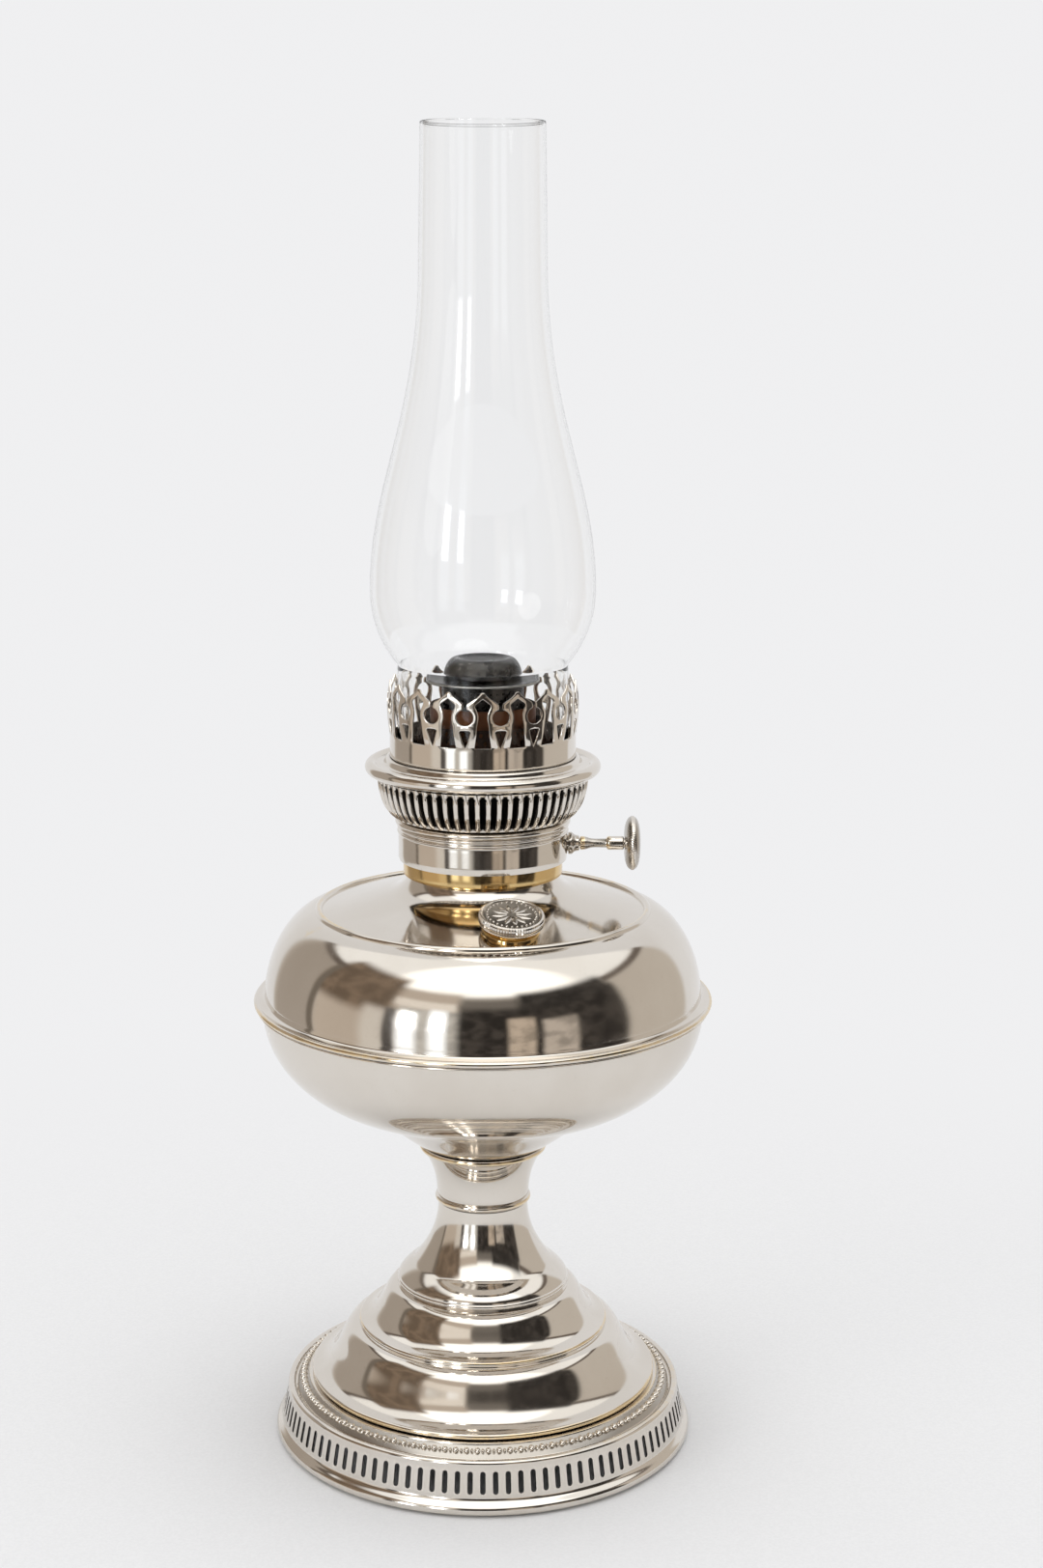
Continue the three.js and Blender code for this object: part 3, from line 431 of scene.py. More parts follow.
@dataclass
class Turning:
    """A turned solid, given by one sector of it."""

    outline: Outline
    repeats: int = 144
    closed: bool = True
    columns: int = 1
    flute: Callable[[float, int], float] | None = None

    def unit(self, name: str) -> bpy.types.Mesh:
        """Makes the mesh of one sector.

        Args:
            name: Name of the mesh.

        Returns:
            The sector, with the first column on the +X side.
        """
        points = self.outline.points
        count = len(points)
        spots: list[Sequence[float]] = []
        rubbed: list[float] = []
        faces: list[list[int]] = []
        for column in range(self.columns + 1):
            share = column / self.columns
            angle = 2 * math.pi * share / self.repeats
            for index, (radius, height, wear) in enumerate(points):
                reach = radius - (self.flute(share, index) if self.flute else 0.0)
                spots.append((reach * math.cos(angle), reach * math.sin(angle), height))
                rubbed.append(wear)
        for near in range(0, self.columns * count, count):
            far = near + count
            for index in range(count if self.closed else count - 1):
                after = (index + 1) % count
                corners = [near + index, far + index, far + after, near + after]
                for row in (index, after):
                    if points[row][0] < NEAR:
                        corners.remove(far + row)
                if len(corners) > 2:
                    faces.append(corners)
        return raw_mesh(name, spots, faces, rubbed)


@dataclass
class PiercedSheet:
    """A bent sheet, given by one repeat of it laid flat: x round the axis, y along its outline."""

    outline: Outline
    wall: float
    repeats: int
    datum: float
    holes: list[Loop] = field(default_factory=list)
    columns: Sequence[float] = (-0.5, 0.0, 0.5)
    edge: Loop | None = None
    crown: Callable[[float, float], float] | None = None
    room: float = 0.35
    lining: float = SHADED_LINING
    # Darkening of the points on the holes' edges, painted shade in the slots
    cut_edge_shade: float = 0.0

    def pitch(self) -> float:
        """Width of one repeat at the datum radius."""
        return 2 * math.pi * self.datum / self.repeats

    def border(self) -> Loop:
        """Draws the edge of one plain repeat.

        Returns:
            The loop round it, with a point at each row and column.
        """
        rows = self.outline.lengths()
        across = [share * self.pitch() for share in self.columns]
        foot = [(x, rows[0]) for x in across]
        right = [(across[-1], y) for y in rows[1:-1]]
        top = [(x, rows[-1]) for x in reversed(across)]
        left = [(across[0], y) for y in reversed(rows[1:-1])]
        return [*foot, *right, *top, *left]

    def is_sheet(self, point: Point, border: Loop) -> bool:
        """Tells whether a flat point lies on the sheet, outside its holes."""
        return within(point, border) and not any(within(point, hole) for hole in self.holes)

    def flat(self) -> tuple[Loop, list[list[int]]]:
        """Fills the repeat with triangles, leaving its holes open.

        Returns:
            The flat points and the triangles as indices.
        """
        border = self.edge or self.border()
        loops = [border, *self.holes]
        grid = [(share * self.pitch(), y) for share in self.columns for y in self.outline.lengths()]
        spots: list[Vector] = []
        links = []
        for loop in loops:
            base = len(spots)
            spots.extend(Vector(p) for p in loop)
            links.extend((base + i, base + (i + 1) % len(loop)) for i in range(len(loop)))
        for spot in grid:
            if self.is_sheet(spot, border) and clear_of(spot, loops, self.room):
                spots.append(Vector(spot))
        found, _, faces, *_ = delaunay_2d_cdt(spots, links, [], 0, FILL_REACH)
        kept = []
        for face in faces:
            middle = sum((found[i] for i in face), Vector((0.0, 0.0))) / len(face)
            if self.is_sheet(middle, border):
                kept.append(list(face))
        return [tuple(p) for p in found], kept

    def bent(self, flat: Sequence[Point], depth: float) -> tuple[list[Sequence[float]], list[float]]:
        """Bends flat points round the axis.

        Args:
            flat: The flat points.
            depth: How far they lie under the outer face.

        Returns:
            The bent points and the wear at each.
        """
        rows = self.outline.lengths()
        marks = [(*point, *normal) for point, normal in zip(self.outline.points, self.outline.normals())]
        spots: list[Sequence[float]] = []
        rubbed: list[float] = []
        for x, y in flat:
            index = max(i for i, row in enumerate(rows) if row <= y + NEAR or i == 0)
            index = min(index, len(rows) - 2)
            share = min(max((y - rows[index]) / (rows[index + 1] - rows[index]), 0.0), 1.0)
            pairs = zip(marks[index], marks[index + 1])
            radius, height, wear, out, up = (a * (1 - share) + b * share for a, b in pairs)
            rise = (self.crown(x, y) if self.crown else 0.0) - depth
            reach = radius + out * rise
            angle = x / self.datum
            spots.append((reach * math.cos(angle), reach * math.sin(angle), height + up * rise))
            # Inner faces take the lining's wear, which is painted shade where it is below 0.
            wear = self.lining if depth else wear
            # Points on a hole's edge take the cut edge's painted shade.
            cut = self.cut_edge_shade < 0 and not clear_of((x, y), self.holes, CUT_REACH)
            rubbed.append(min(wear, self.cut_edge_shade) if cut else wear)
        return spots, rubbed

    def unit(self, name: str) -> bpy.types.Mesh:
        """Makes the mesh of one repeat, bent round the axis and given its thickness.

        Args:
            name: Name of the mesh.

        Returns:
            The repeat, centred on the +X side, open only where it meets its neighbours.
        """
        flat, faces = self.flat()
        count = len(flat)
        outer, outer_wear = self.bent(flat, 0.0)
        inner, inner_wear = self.bent(flat, self.wall)
        solid = [list(face) for face in faces]
        solid.extend([i + count for i in reversed(face)] for face in faces)
        edges = {(face[i], face[(i + 1) % len(face)]) for face in faces for i in range(len(face))}
        half = self.pitch() / 2
        for a, b in sorted(edges):
            upright = abs(flat[a][0] - flat[b][0]) < SEAM_REACH
            seam = upright and abs(abs(flat[a][0]) - half) < SEAM_REACH
            if (b, a) not in edges and not seam:
                solid.append([b, a, a + count, b + count])
        return raw_mesh(name, [*outer, *inner], solid, [*outer_wear, *inner_wear])


@dataclass
class BeadRow:
    """A row of beads, each a ball that may reach further in and out than it is wide."""

    radius: float
    height: float
    bead: float
    repeats: int
    stretch: float = 1.0
    wear: float = 0.35
    sides: int = 12
    rows: int = 8

    def unit(self, name: str) -> bpy.types.Mesh:
        """Makes one bead.

        Args:
            name: Name of the mesh.

        Returns:
            The bead, on the +X side.
        """
        work = bmesh.new()
        bmesh.ops.create_uvsphere(work, u_segments=self.sides, v_segments=self.rows, radius=self.bead)
        spots = [(v.co.x * self.stretch + self.radius, v.co.y, v.co.z + self.height) for v in work.verts]
        faces = [[v.index for v in face.verts] for face in work.faces]
        work.free()
        return raw_mesh(name, spots, faces, [self.wear] * len(spots))


@dataclass
class Rosette:
    """Raised leaves round the middle of a flat face."""

    face: float
    repeats: int
    inner: float = 1.6
    outer: float = 7.6
    width: float = 1.25
    height: float = 0.5
    wear: float = -0.28
    rings: int = 9
    section: ClassVar[Sequence[Point]] = (
        (-1.0, -0.2), (-0.55, 0.75), (0.0, 1.0), (0.55, 0.75), (1.0, -0.2),
    )

    def unit(self, name: str) -> bpy.types.Mesh:
        """Makes one leaf.

        Args:
            name: Name of the mesh.

        Returns:
            The leaf, along +X.
        """
        across = len(self.section)
        spots: list[Sequence[float]] = []
        faces: list[list[int]] = []
        for step in range(self.rings + 1):
            share = step / self.rings
            x = self.inner + (self.outer - self.inner) * share
            wide = self.width * math.sin(math.pi * min(share * 0.92 + 0.06, 1.0)) ** 0.8
            tall = self.height * math.sin(math.pi * min(share * 0.9 + 0.08, 1.0)) ** 0.6
            spots.extend((x, side * wide, self.face + lift * tall) for side, lift in self.section)
        for near in range(0, self.rings * across, across):
            far = near + across
            faces.extend([near + i, far + i, far + i + 1, near + i + 1] for i in range(across - 1))
            faces.append([far - 1, far + across - 1, far, near])
        faces.append(list(range(across)))
        faces.append([self.rings * across + i for i in reversed(range(across))])
        return raw_mesh(name, spots, faces, [self.wear] * len(spots))


# Node trees


class Graph:
    """Short hand for filling a node tree."""

    def __init__(self, tree: bpy.types.NodeTree) -> None:
        """Keeps the tree that is filled."""
        self.tree = tree

    def add(self, kind: str, inputs: dict[Any, Any] | None = None, **settings: Any) -> bpy.types.Node:
        """Adds a node.

        Args:
            kind: Type of the node.
            inputs: Values or sockets for its inputs.
            **settings: Properties of the node, set before its inputs.

        Returns:
            The node.
        """
        node = self.tree.nodes.new(kind)
        for key, value in settings.items():
            setattr(node, key, value)
        for key, value in (inputs or {}).items():
            self.feed(node.inputs[key], value)
        return node

    def feed(self, socket: bpy.types.NodeSocket, value: Any) -> None:
        """Links a socket to another one, or sets its value.

        Args:
            socket: The input.
            value: A number, a colour or a socket.
        """
        if isinstance(value, bpy.types.NodeSocket):
            self.tree.links.new(value, socket)
        else:
            socket.default_value = value

    def place(self) -> bpy.types.NodeSocket:
        """Adds the coordinates of the object, and returns them."""
        return self.add("ShaderNodeTexCoord").outputs["Object"]

    def math(self, operation: str, *values: Any) -> bpy.types.NodeSocket:
        """Adds a sum of numbers and sockets, and returns its result."""
        return self.add("ShaderNodeMath", dict(enumerate(values)), operation=operation).outputs[0]

    def mix(self, share: Any, first: Any, second: Any) -> bpy.types.NodeSocket:
        """Mixes two colours.

        Args:
            share: Share of the second one.
            first: A colour or a socket.
            second: A colour or a socket.

        Returns:
            The mixed colour.
        """
        ends = [(*end, 1.0) if isinstance(end, tuple) else end for end in (first, second)]
        inputs = {0: share, 6: ends[0], 7: ends[1]}
        return self.add("ShaderNodeMix", inputs, data_type="RGBA").outputs[2]

    def between(self, value: Any, low: float, high: float, first: float = 0.0,
                last: float = 1.0) -> bpy.types.NodeSocket:
        """Maps a value smoothly from one range to another.

        Args:
            value: Socket that is read.
            low: Where the range starts.
            high: Where the range ends.
            first: Result at the start.
            last: Result at the end.

        Returns:
            The mapped value.
        """
        inputs = dict(enumerate((value, low, high, first, last)))
        return self.add("ShaderNodeMapRange", inputs, interpolation_type="SMOOTHSTEP").outputs[0]

    def noise(self, place: Any, scale: Any, detail: float, rough: float = 0.5) -> bpy.types.NodeSocket:
        """Adds a noise pattern, and returns its value."""
        inputs = {"Vector": place, "Scale": scale, "Detail": detail, "Roughness": rough}
        return self.add("ShaderNodeTexNoise", inputs).outputs[0]


class RingTree:
    """Geometry Nodes tree that repeats a unit round the Z axis and welds the repeats."""

    INPUTS: ClassVar[Sequence[tuple[str, str]]] = (
        ("Unit", "Geometry"), ("Repeats", "Int"), ("Weld", "Float"), ("Finish", "Material"),
    )

    def __init__(self) -> None:
        """Builds the tree with its named inputs."""
        self.tree = bpy.data.node_groups.new("ring_of_repeats", "GeometryNodeTree")
        self.tree.is_modifier = True
        self.keys: dict[str, str] = {}
        sockets = self.tree.interface
        for label, kind in self.INPUTS:
            socket = sockets.new_socket(label, in_out="INPUT", socket_type=f"NodeSocket{kind}")
            self.keys[label] = socket.identifier
        sockets.new_socket("Ring", in_out="OUTPUT", socket_type="NodeSocketGeometry")
        graph = Graph(self.tree)
        given = graph.add("NodeGroupInput").outputs
        index = graph.add("GeometryNodeInputIndex").outputs[0]
        turn = graph.math("DIVIDE", graph.math("MULTIPLY", index, math.tau), given["Repeats"])
        angles = graph.add("ShaderNodeCombineXYZ", {"Z": turn})
        spin = graph.add("FunctionNodeEulerToRotation", {"Euler": angles.outputs[0]})
        spots = graph.add("GeometryNodePoints", {"Count": given["Repeats"]})
        copies = graph.add("GeometryNodeInstanceOnPoints", {
            "Points": spots.outputs[0], "Instance": given["Unit"], "Rotation": spin.outputs[0],
        })
        real = graph.add("GeometryNodeRealizeInstances", {"Geometry": copies.outputs[0]})
        welded = graph.add("GeometryNodeMergeByDistance", {
            "Geometry": real.outputs[0], "Distance": given["Weld"],
        })
        dressed = graph.add("GeometryNodeSetMaterial", {
            "Geometry": welded.outputs[0], "Material": given["Finish"],
        })
        graph.add("NodeGroupOutput", {"Ring": dressed.outputs[0]})

    def ring(self, name: str, form: Form, finish: bpy.types.Material,
             place: Matrix | None = None) -> bpy.types.Object:
        """Repeats a form's unit round the axis and leaves a plain mesh.

        Args:
            name: Name of the object.
            form: The form.
            finish: Material of the ring.
            place: Where the ring's own axis stands, if not on the lamp's.

        Returns:
            The finished object, linked to the scene.
        """
        obj = bpy.data.objects.new(name, form.unit(name))
        bpy.context.collection.objects.link(obj)
        modifier = obj.modifiers.new("ring", "NODES")
        modifier.node_group = self.tree
        for label, value in (("Repeats", form.repeats), ("Weld", WELD), ("Finish", finish)):
            modifier[self.keys[label]] = value
        made_plain(obj)
        if place is not None:
            obj.data.transform(place)
        faced_outwards(obj.data)
        smoothed(obj.data)
        return obj


def made_plain(obj: bpy.types.Object) -> None:
    """Turns an object's evaluated shape into its own plain mesh.

    Args:
        obj: The object, whose modifiers are used up.
    """
    graph = bpy.context.evaluated_depsgraph_get()
    shape = obj.evaluated_get(graph)
    mesh = bpy.data.meshes.new_from_object(shape, preserve_all_data_layers=True, depsgraph=graph)
    mesh.name = obj.name
    old = obj.data
    obj.modifiers.clear()
    obj.data = mesh
    bpy.data.meshes.remove(old)


def faced_outwards(mesh: bpy.types.Mesh) -> None:
    """Turns a closed mesh the right way out.

    Args:
        mesh: The mesh, in metres.
    """
    work = bmesh.new()
    work.from_mesh(mesh)
    if work.calc_volume(signed=True) < 0:
        bmesh.ops.reverse_faces(work, faces=work.faces)
        work.to_mesh(mesh)
    work.free()


def smoothed(mesh: bpy.types.Mesh) -> None:
    """Shades a mesh smooth, apart from its real corners."""
    mesh.shade_smooth()
    mesh.set_sharp_from_angle(angle=SHARP_ANGLE)


def rounded(obj: bpy.types.Object, radius: float) -> None:
    """Rounds the cut edges of a sheet.

    Args:
        obj: The sheet.
        radius: Radius of the rounding in millimetres.
    """
    bevel = obj.modifiers.new("rounding", "BEVEL")
    bevel.width = radius * MM
    bevel.segments = 2
    bevel.limit_method = "ANGLE"
    bevel.angle_limit = CUT_ANGLE
    made_plain(obj)
    smoothed(obj.data)


# Finishes


class Effects:
    """Shader groups that several finishes share."""

    HAIR_SHARE = 0.03
    FRAY_SCALE = 420.0
    FRAY_SPREAD = 0.6
    PATCH_SPREAD = 1.7
    BARE_SHARE = 0.8

    def __init__(self) -> None:
        """Builds the groups."""
        self.age = self.aged()
        self.rub = self.rubbed()

    @staticmethod
    def start(name: str, inputs: Sequence[str], outputs: Sequence[str]) -> tuple[Graph, Any]:
        """Makes an empty group with a place and named values.

        Args:
            name: Name of the group.
            inputs: Names of the values that it takes beside the place.
            outputs: Names of the values that it gives.

        Returns:
            Its graph, and the sockets of what it takes.
        """
        tree = bpy.data.node_groups.new(name, "ShaderNodeTree")
        tree.interface.new_socket("Place", in_out="INPUT", socket_type="NodeSocketVector")
        for way, labels in (("INPUT", inputs), ("OUTPUT", outputs)):
            for label in labels:
                tree.interface.new_socket(label, in_out=way, socket_type="NodeSocketFloat")
        graph = Graph(tree)
        return graph, graph.add("NodeGroupInput").outputs

    def aged(self) -> bpy.types.NodeTree:
        """Builds the slow clouds, small specks and uneven surface of old sheet metal.

        Returns:
            The group.
        """
        graph, given = self.start("aged_metal", ("Cloud Scale", "Speck Scale", "Ripple Scale"),
                                  ("Clouds", "Specks", "Ripple"))
        clouds = graph.between(graph.noise(given["Place"], given["Cloud Scale"], 4.0), 0.32, 0.70)
        specks = graph.between(graph.noise(given["Place"], given["Speck Scale"], 3.0, 0.6), 0.60, 0.74)
        swell = graph.noise(given["Place"], given["Ripple Scale"], 1.0)
        hair = graph.noise(given["Place"], given["Speck Scale"], 2.0)
        ripple = graph.math("ADD", swell, graph.math("MULTIPLY", hair, self.HAIR_SHARE))
        graph.add("NodeGroupOutput", {"Clouds": clouds, "Specks": specks, "Ripple": ripple})
        return graph.tree

    def rubbed(self) -> bpy.types.NodeTree:
        """Builds the mask of the plating that hands and polish have taken off, and the darkening where
        the wear is below 0, which is painted shade on linings and dirt in hollows.

        Returns:
            The group.
        """
        graph, given = self.start("rubbed_plating", ("Rubbed", "Patch Scale", "Patches"),
                                  ("Mask", "Inside"))
        patch = graph.noise(given["Place"], given["Patch Scale"], 5.0, 0.55)
        fray = graph.noise(given["Place"], self.FRAY_SCALE, 3.0, 0.6)
        worn = given["Rubbed"]
        for pattern, spread in ((fray, self.FRAY_SPREAD), (patch, self.PATCH_SPREAD)):
            swing = graph.math("MULTIPLY", graph.math("SUBTRACT", pattern, 0.5), spread)
            worn = graph.math("ADD", worn, swing)
        edge = graph.between(worn, 0.50, 1.0)
        bare = graph.between(graph.math("ADD", patch, given["Patches"]), 0.66, 0.73)
        frayed = graph.math("MULTIPLY", bare, graph.between(fray, 0.30, 0.62))
        sound = graph.between(given["Rubbed"], -0.2, 0.0)
        mask = graph.math("MULTIPLY", graph.math("MAXIMUM", edge, frayed), sound)
        graph.add("NodeGroupOutput", {
            "Mask": graph.math("MULTIPLY", mask, self.BARE_SHARE),
            # Painted shade on linings and dirt in hollows, where the wear is below 0
            "Inside": graph.between(given["Rubbed"], -0.7, -0.1, 1.0, 0.0),
        })
        return graph.tree


@dataclass(frozen=True)
class Finish:
    """What all finishes share: a slot, the scales of their ageing and the relief of their surface."""

    slot: Slot
    cloud_scale: float = 26.0
    speck_scale: float = 900.0
    ripple_scale: float = 34.0
    relief: float = 0.05
    strength: float = 1.0

    def material(self, effects: Effects) -> bpy.types.Material:
        """Builds the material.

        Args:
            effects: Shared shader groups.

        Returns:
            The material, named after its slot.
        """
        material = bpy.data.materials.new(self.slot.value)
        material.use_nodes = True
        graph = Graph(material.node_tree)
        inputs = material.node_tree.nodes["Principled BSDF"].inputs
        age = graph.add("ShaderNodeGroup", {
            "Place": graph.place(), "Cloud Scale": self.cloud_scale,
            "Speck Scale": self.speck_scale, "Ripple Scale": self.ripple_scale,
        }, node_tree=effects.age).outputs
        height = self.dress(graph, inputs, age, effects)
        bump = graph.add("ShaderNodeBump", {
            "Height": height, "Strength": self.strength, "Distance": self.relief * MM,
        })
        graph.feed(inputs["Normal"], bump.outputs[0])
        return material

    def dress(self, graph: Graph, inputs: Any, age: Any, effects: Effects) -> bpy.types.NodeSocket:
        """Sets the colour and the gloss, and returns the height of the relief."""
        raise NotImplementedError


@dataclass(frozen=True, kw_only=True)
class MetalFinish(Finish):
    """A polished, plated or blackened metal with its stains and rubbed edges."""

    colour: Colour
    stain: Colour
    bare: Colour
    polish: float
    dull: float
    patches: float = 0.0
    metallic: float = 1.0
    # Near-black colour where the wear is below 0: painted shade on inner faces, hidden tubes and slot
    # edges, and dirt in hollows.
    inside: Colour = (0.03, 0.026, 0.022)
    patch_scale: float = 14.0
    cloud_share: float = 0.55
    speck_share: float = 0.45
    speck_haze: float = 0.08
    bare_haze: float = 0.07
    inside_haze: float = 0.5

    def dress(self, graph: Graph, inputs: Any, age: Any, effects: Effects) -> bpy.types.NodeSocket:
        """Stains the metal, rubs its edges, and darkens it where the wear is below 0: dirt in hollows,
        painted shade on its lining.

        Args:
            graph: The material's graph.
            inputs: Inputs of its shader.
            age: Outputs of the ageing.
            effects: Shared shader groups.

        Returns:
            The height of the relief.
        """
        rub = graph.add("ShaderNodeGroup", {
            "Place": graph.place(),
            "Rubbed": graph.add("ShaderNodeAttribute", attribute_name=RUBBED).outputs["Fac"],
            "Patch Scale": self.patch_scale,
            "Patches": self.patches,
        }, node_tree=effects.rub).outputs
        clouds = graph.math("MULTIPLY", age["Clouds"], self.cloud_share)
        specks = graph.math("MULTIPLY", age["Specks"], self.speck_share)
        specked = graph.mix(specks, graph.mix(clouds, self.colour, self.stain), self.stain)
        plated = graph.mix(rub["Mask"], specked, self.bare)
        graph.feed(inputs["Base Color"], graph.mix(rub["Inside"], plated, self.inside))
        rough = graph.between(age["Clouds"], 0.0, 1.0, self.polish, self.dull)
        hazes = (self.speck_haze, self.bare_haze, self.inside_haze)
        for mask, haze in zip((age["Specks"], rub["Mask"], rub["Inside"]), hazes):
            rough = graph.math("ADD", rough, graph.math("MULTIPLY", mask, haze))
        graph.feed(inputs["Roughness"], rough)
        inputs["Metallic"].default_value = self.metallic
        return age["Ripple"]


@dataclass(frozen=True, kw_only=True)
class GlassFinish(Finish):
    """Clear blown glass with faint waves and handling haze."""

    colour: Colour = (0.998, 1.0, 0.999)
    index: float = 1.3
    haze: float = 0.03

    def dress(self, graph: Graph, inputs: Any, age: Any, effects: Effects) -> bpy.types.NodeSocket:
        """Clears the glass and gives it its haze.

        Args:
            graph: The material's graph.
            inputs: Inputs of its shader.
            age: Outputs of the ageing.
            effects: Shared shader groups; not used.

        Returns:
            The height of the relief.
        """
        inputs["Base Color"].default_value = (*self.colour, 1.0)
        inputs["Transmission Weight"].default_value = 1.0
        inputs["IOR"].default_value = self.index
        graph.feed(inputs["Roughness"], graph.between(age["Specks"], 0.0, 1.0, 0.0, self.haze))
        return age["Ripple"]


@dataclass(frozen=True, kw_only=True)
class CottonFinish(Finish):
    """Braided cotton, charred at its top edge."""

    colour: Colour = (0.66, 0.58, 0.44)
    shade: Colour = (0.36, 0.28, 0.18)
    char: Colour = (0.02, 0.018, 0.015)
    rough: Pair = (0.85, 0.97)
    strands: float = 56.0
    course: float = 2.2
    charred: float = 3.4
    char_fade: float = 3.0
    char_fray: float = 2.0
    soil: float = 0.4

    def dress(self, graph: Graph, inputs: Any, age: Any, effects: Effects) -> bpy.types.NodeSocket:
        """Braids the cotton, soils it and chars its top.

        Args:
            graph: The material's graph.
            inputs: Inputs of its shader.
            age: Outputs of the ageing.
            effects: Shared shader groups; not used.

        Returns:
            The height of the braid.
        """
        part = graph.add("ShaderNodeSeparateXYZ", {"Vector": graph.place()}).outputs
        turn = graph.math("MULTIPLY", graph.math("ARCTAN2", part["Y"], part["X"]), self.strands)
        climb = graph.math("MULTIPLY", part["Z"], math.tau / (self.course * MM))
        ways = [graph.math("SINE", graph.math(way, turn, climb)) for way in ("ADD", "SUBTRACT")]
        braid = graph.math("MAXIMUM", *ways)
        # Painted shade darkens the grooves between the strands, and the same dark colour serves for the
        # soil.
        thread = graph.mix(graph.between(braid, -0.4, 0.9), self.shade, self.colour)
        soiled = graph.mix(graph.math("MULTIPLY", age["Clouds"], self.soil), thread, self.shade)
        start = (span("wick").top - self.charred) * MM
        fray = graph.math("MULTIPLY", age["Ripple"], self.char_fray * MM)
        frayed = graph.math("ADD", part["Z"], fray)
        burnt = graph.between(frayed, start, start + self.char_fade * MM)
        graph.feed(inputs["Base Color"], graph.mix(burnt, soiled, self.char))
        graph.feed(inputs["Roughness"], graph.between(age["Clouds"], 0.0, 1.0, *self.rough))
        return braid


@dataclass(frozen=True, kw_only=True)
class CorkFinish(Finish):
    """Pressed cork of the filler washer."""

    colour: Colour = (0.42, 0.27, 0.15)
    pore: Colour = (0.12, 0.07, 0.04)
    rough: Pair = (0.8, 0.95)

    def dress(self, graph: Graph, inputs: Any, age: Any, effects: Effects) -> bpy.types.NodeSocket:
        """Speckles the cork with its pores.

        Args:
            graph: The material's graph.
            inputs: Inputs of its shader.
            age: Outputs of the ageing.
            effects: Shared shader groups; not used.

        Returns:
            The height of the relief.
        """
        graph.feed(inputs["Base Color"], graph.mix(age["Specks"], self.colour, self.pore))
        graph.feed(inputs["Roughness"], graph.between(age["Clouds"], 0.0, 1.0, *self.rough))
        return age["Ripple"]


FINISHES = (
    MetalFinish(
        Slot.NICKEL, colour=(0.76, 0.715, 0.655), stain=(0.67, 0.615, 0.545), bare=(0.80, 0.61, 0.33),
        polish=0.06, dull=0.12, relief=0.045,
    ),
    MetalFinish(
        Slot.BRASS, colour=(0.79, 0.58, 0.28), stain=(0.60, 0.40, 0.16), bare=(0.86, 0.66, 0.36),
        polish=0.06, dull=0.14, relief=0.03,
    ),
    MetalFinish(
        Slot.BROWNED, colour=(0.22, 0.085, 0.035), stain=(0.08, 0.035, 0.018), bare=(0.45, 0.24, 0.10),
        polish=0.32, dull=0.55, patches=-0.06, relief=0.04, metallic=0.85, cloud_scale=60.0,
        inside=(0.03, 0.028, 0.026),
    ),
    MetalFinish(
        Slot.IRON, colour=(0.018, 0.018, 0.018), stain=(0.13, 0.125, 0.12), bare=(0.5, 0.49, 0.46),
        polish=0.26, dull=0.42, patches=-0.2, relief=0.08, metallic=0.9, cloud_scale=160.0,
        ripple_scale=300.0, inside=(0.02, 0.02, 0.02),
    ),
    GlassFinish(Slot.GLASS, cloud_scale=30.0, speck_scale=700.0, ripple_scale=24.0),
    CottonFinish(
        Slot.COTTON, cloud_scale=60.0, speck_scale=1500.0, ripple_scale=1200.0, relief=0.25, strength=0.8,
    ),
    CorkFinish(Slot.CORK, cloud_scale=300.0, ripple_scale=1100.0, relief=0.2, strength=0.7),
)


class Workshop:
    """Holds the finishes and the ring tree, and sets pieces on their bodies."""

    def __init__(self) -> None:
        """Builds the materials and the tree."""
        effects = Effects()
        self.finish = {finish.slot: finish.material(effects) for finish in FINISHES}
        self.rings = RingTree()

    def shape(self, name: str, form: Form, slot: Slot, place: Matrix | None = None) -> bpy.types.Object:
        """Makes a form in a finish."""
        return self.rings.ring(name, form, self.finish[slot], place)

    def settle(self, obj: bpy.types.Object, body: Body, slot: Slot, *nodes: str) -> None:
        """Sets a finished piece on its body.

        Args:
            obj: The piece.
            body: Body that it moves with.
            slot: Slot of its finish; not used.
            *nodes: Nodes that it stands for.
        """
        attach(obj, body.value)
        if nodes:
            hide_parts(*nodes)
        log.info("%s: %d faces on %s", obj.name, len(obj.data.polygons), body.value)

    def make(self, name: str, form: Form, body: Body, slot: Slot, *nodes: str,
             place: Matrix | None = None) -> None:
        """Makes a piece and sets it on its body.

        Args:
            name: Name of the piece.
            form: Its form.
            body: Body that it moves with.
            slot: Slot of its finish.
            *nodes: Nodes that it stands for.
            place: Where its own axis stands, if not on the lamp's.
        """
        self.settle(self.shape(name, form, slot, place), body, slot, *nodes)

    def paint(self, node: str, slot: Slot) -> None:
        """Gives a node that stays as it is a finish.

        Args:
            node: Name of the node.
            slot: Slot of its finish.
        """
        obj = frame["nodes"][node]
        obj.data.materials.clear()
        obj.data.materials.append(self.finish[slot])
        log.info("%s keeps its own shape", node)


@dataclass
class Assembly:
    """A group of pieces that are built in the workshop."""

    shop: Workshop

    def build(self) -> None:
        """Builds the pieces."""
        raise NotImplementedError


# Foot and stem


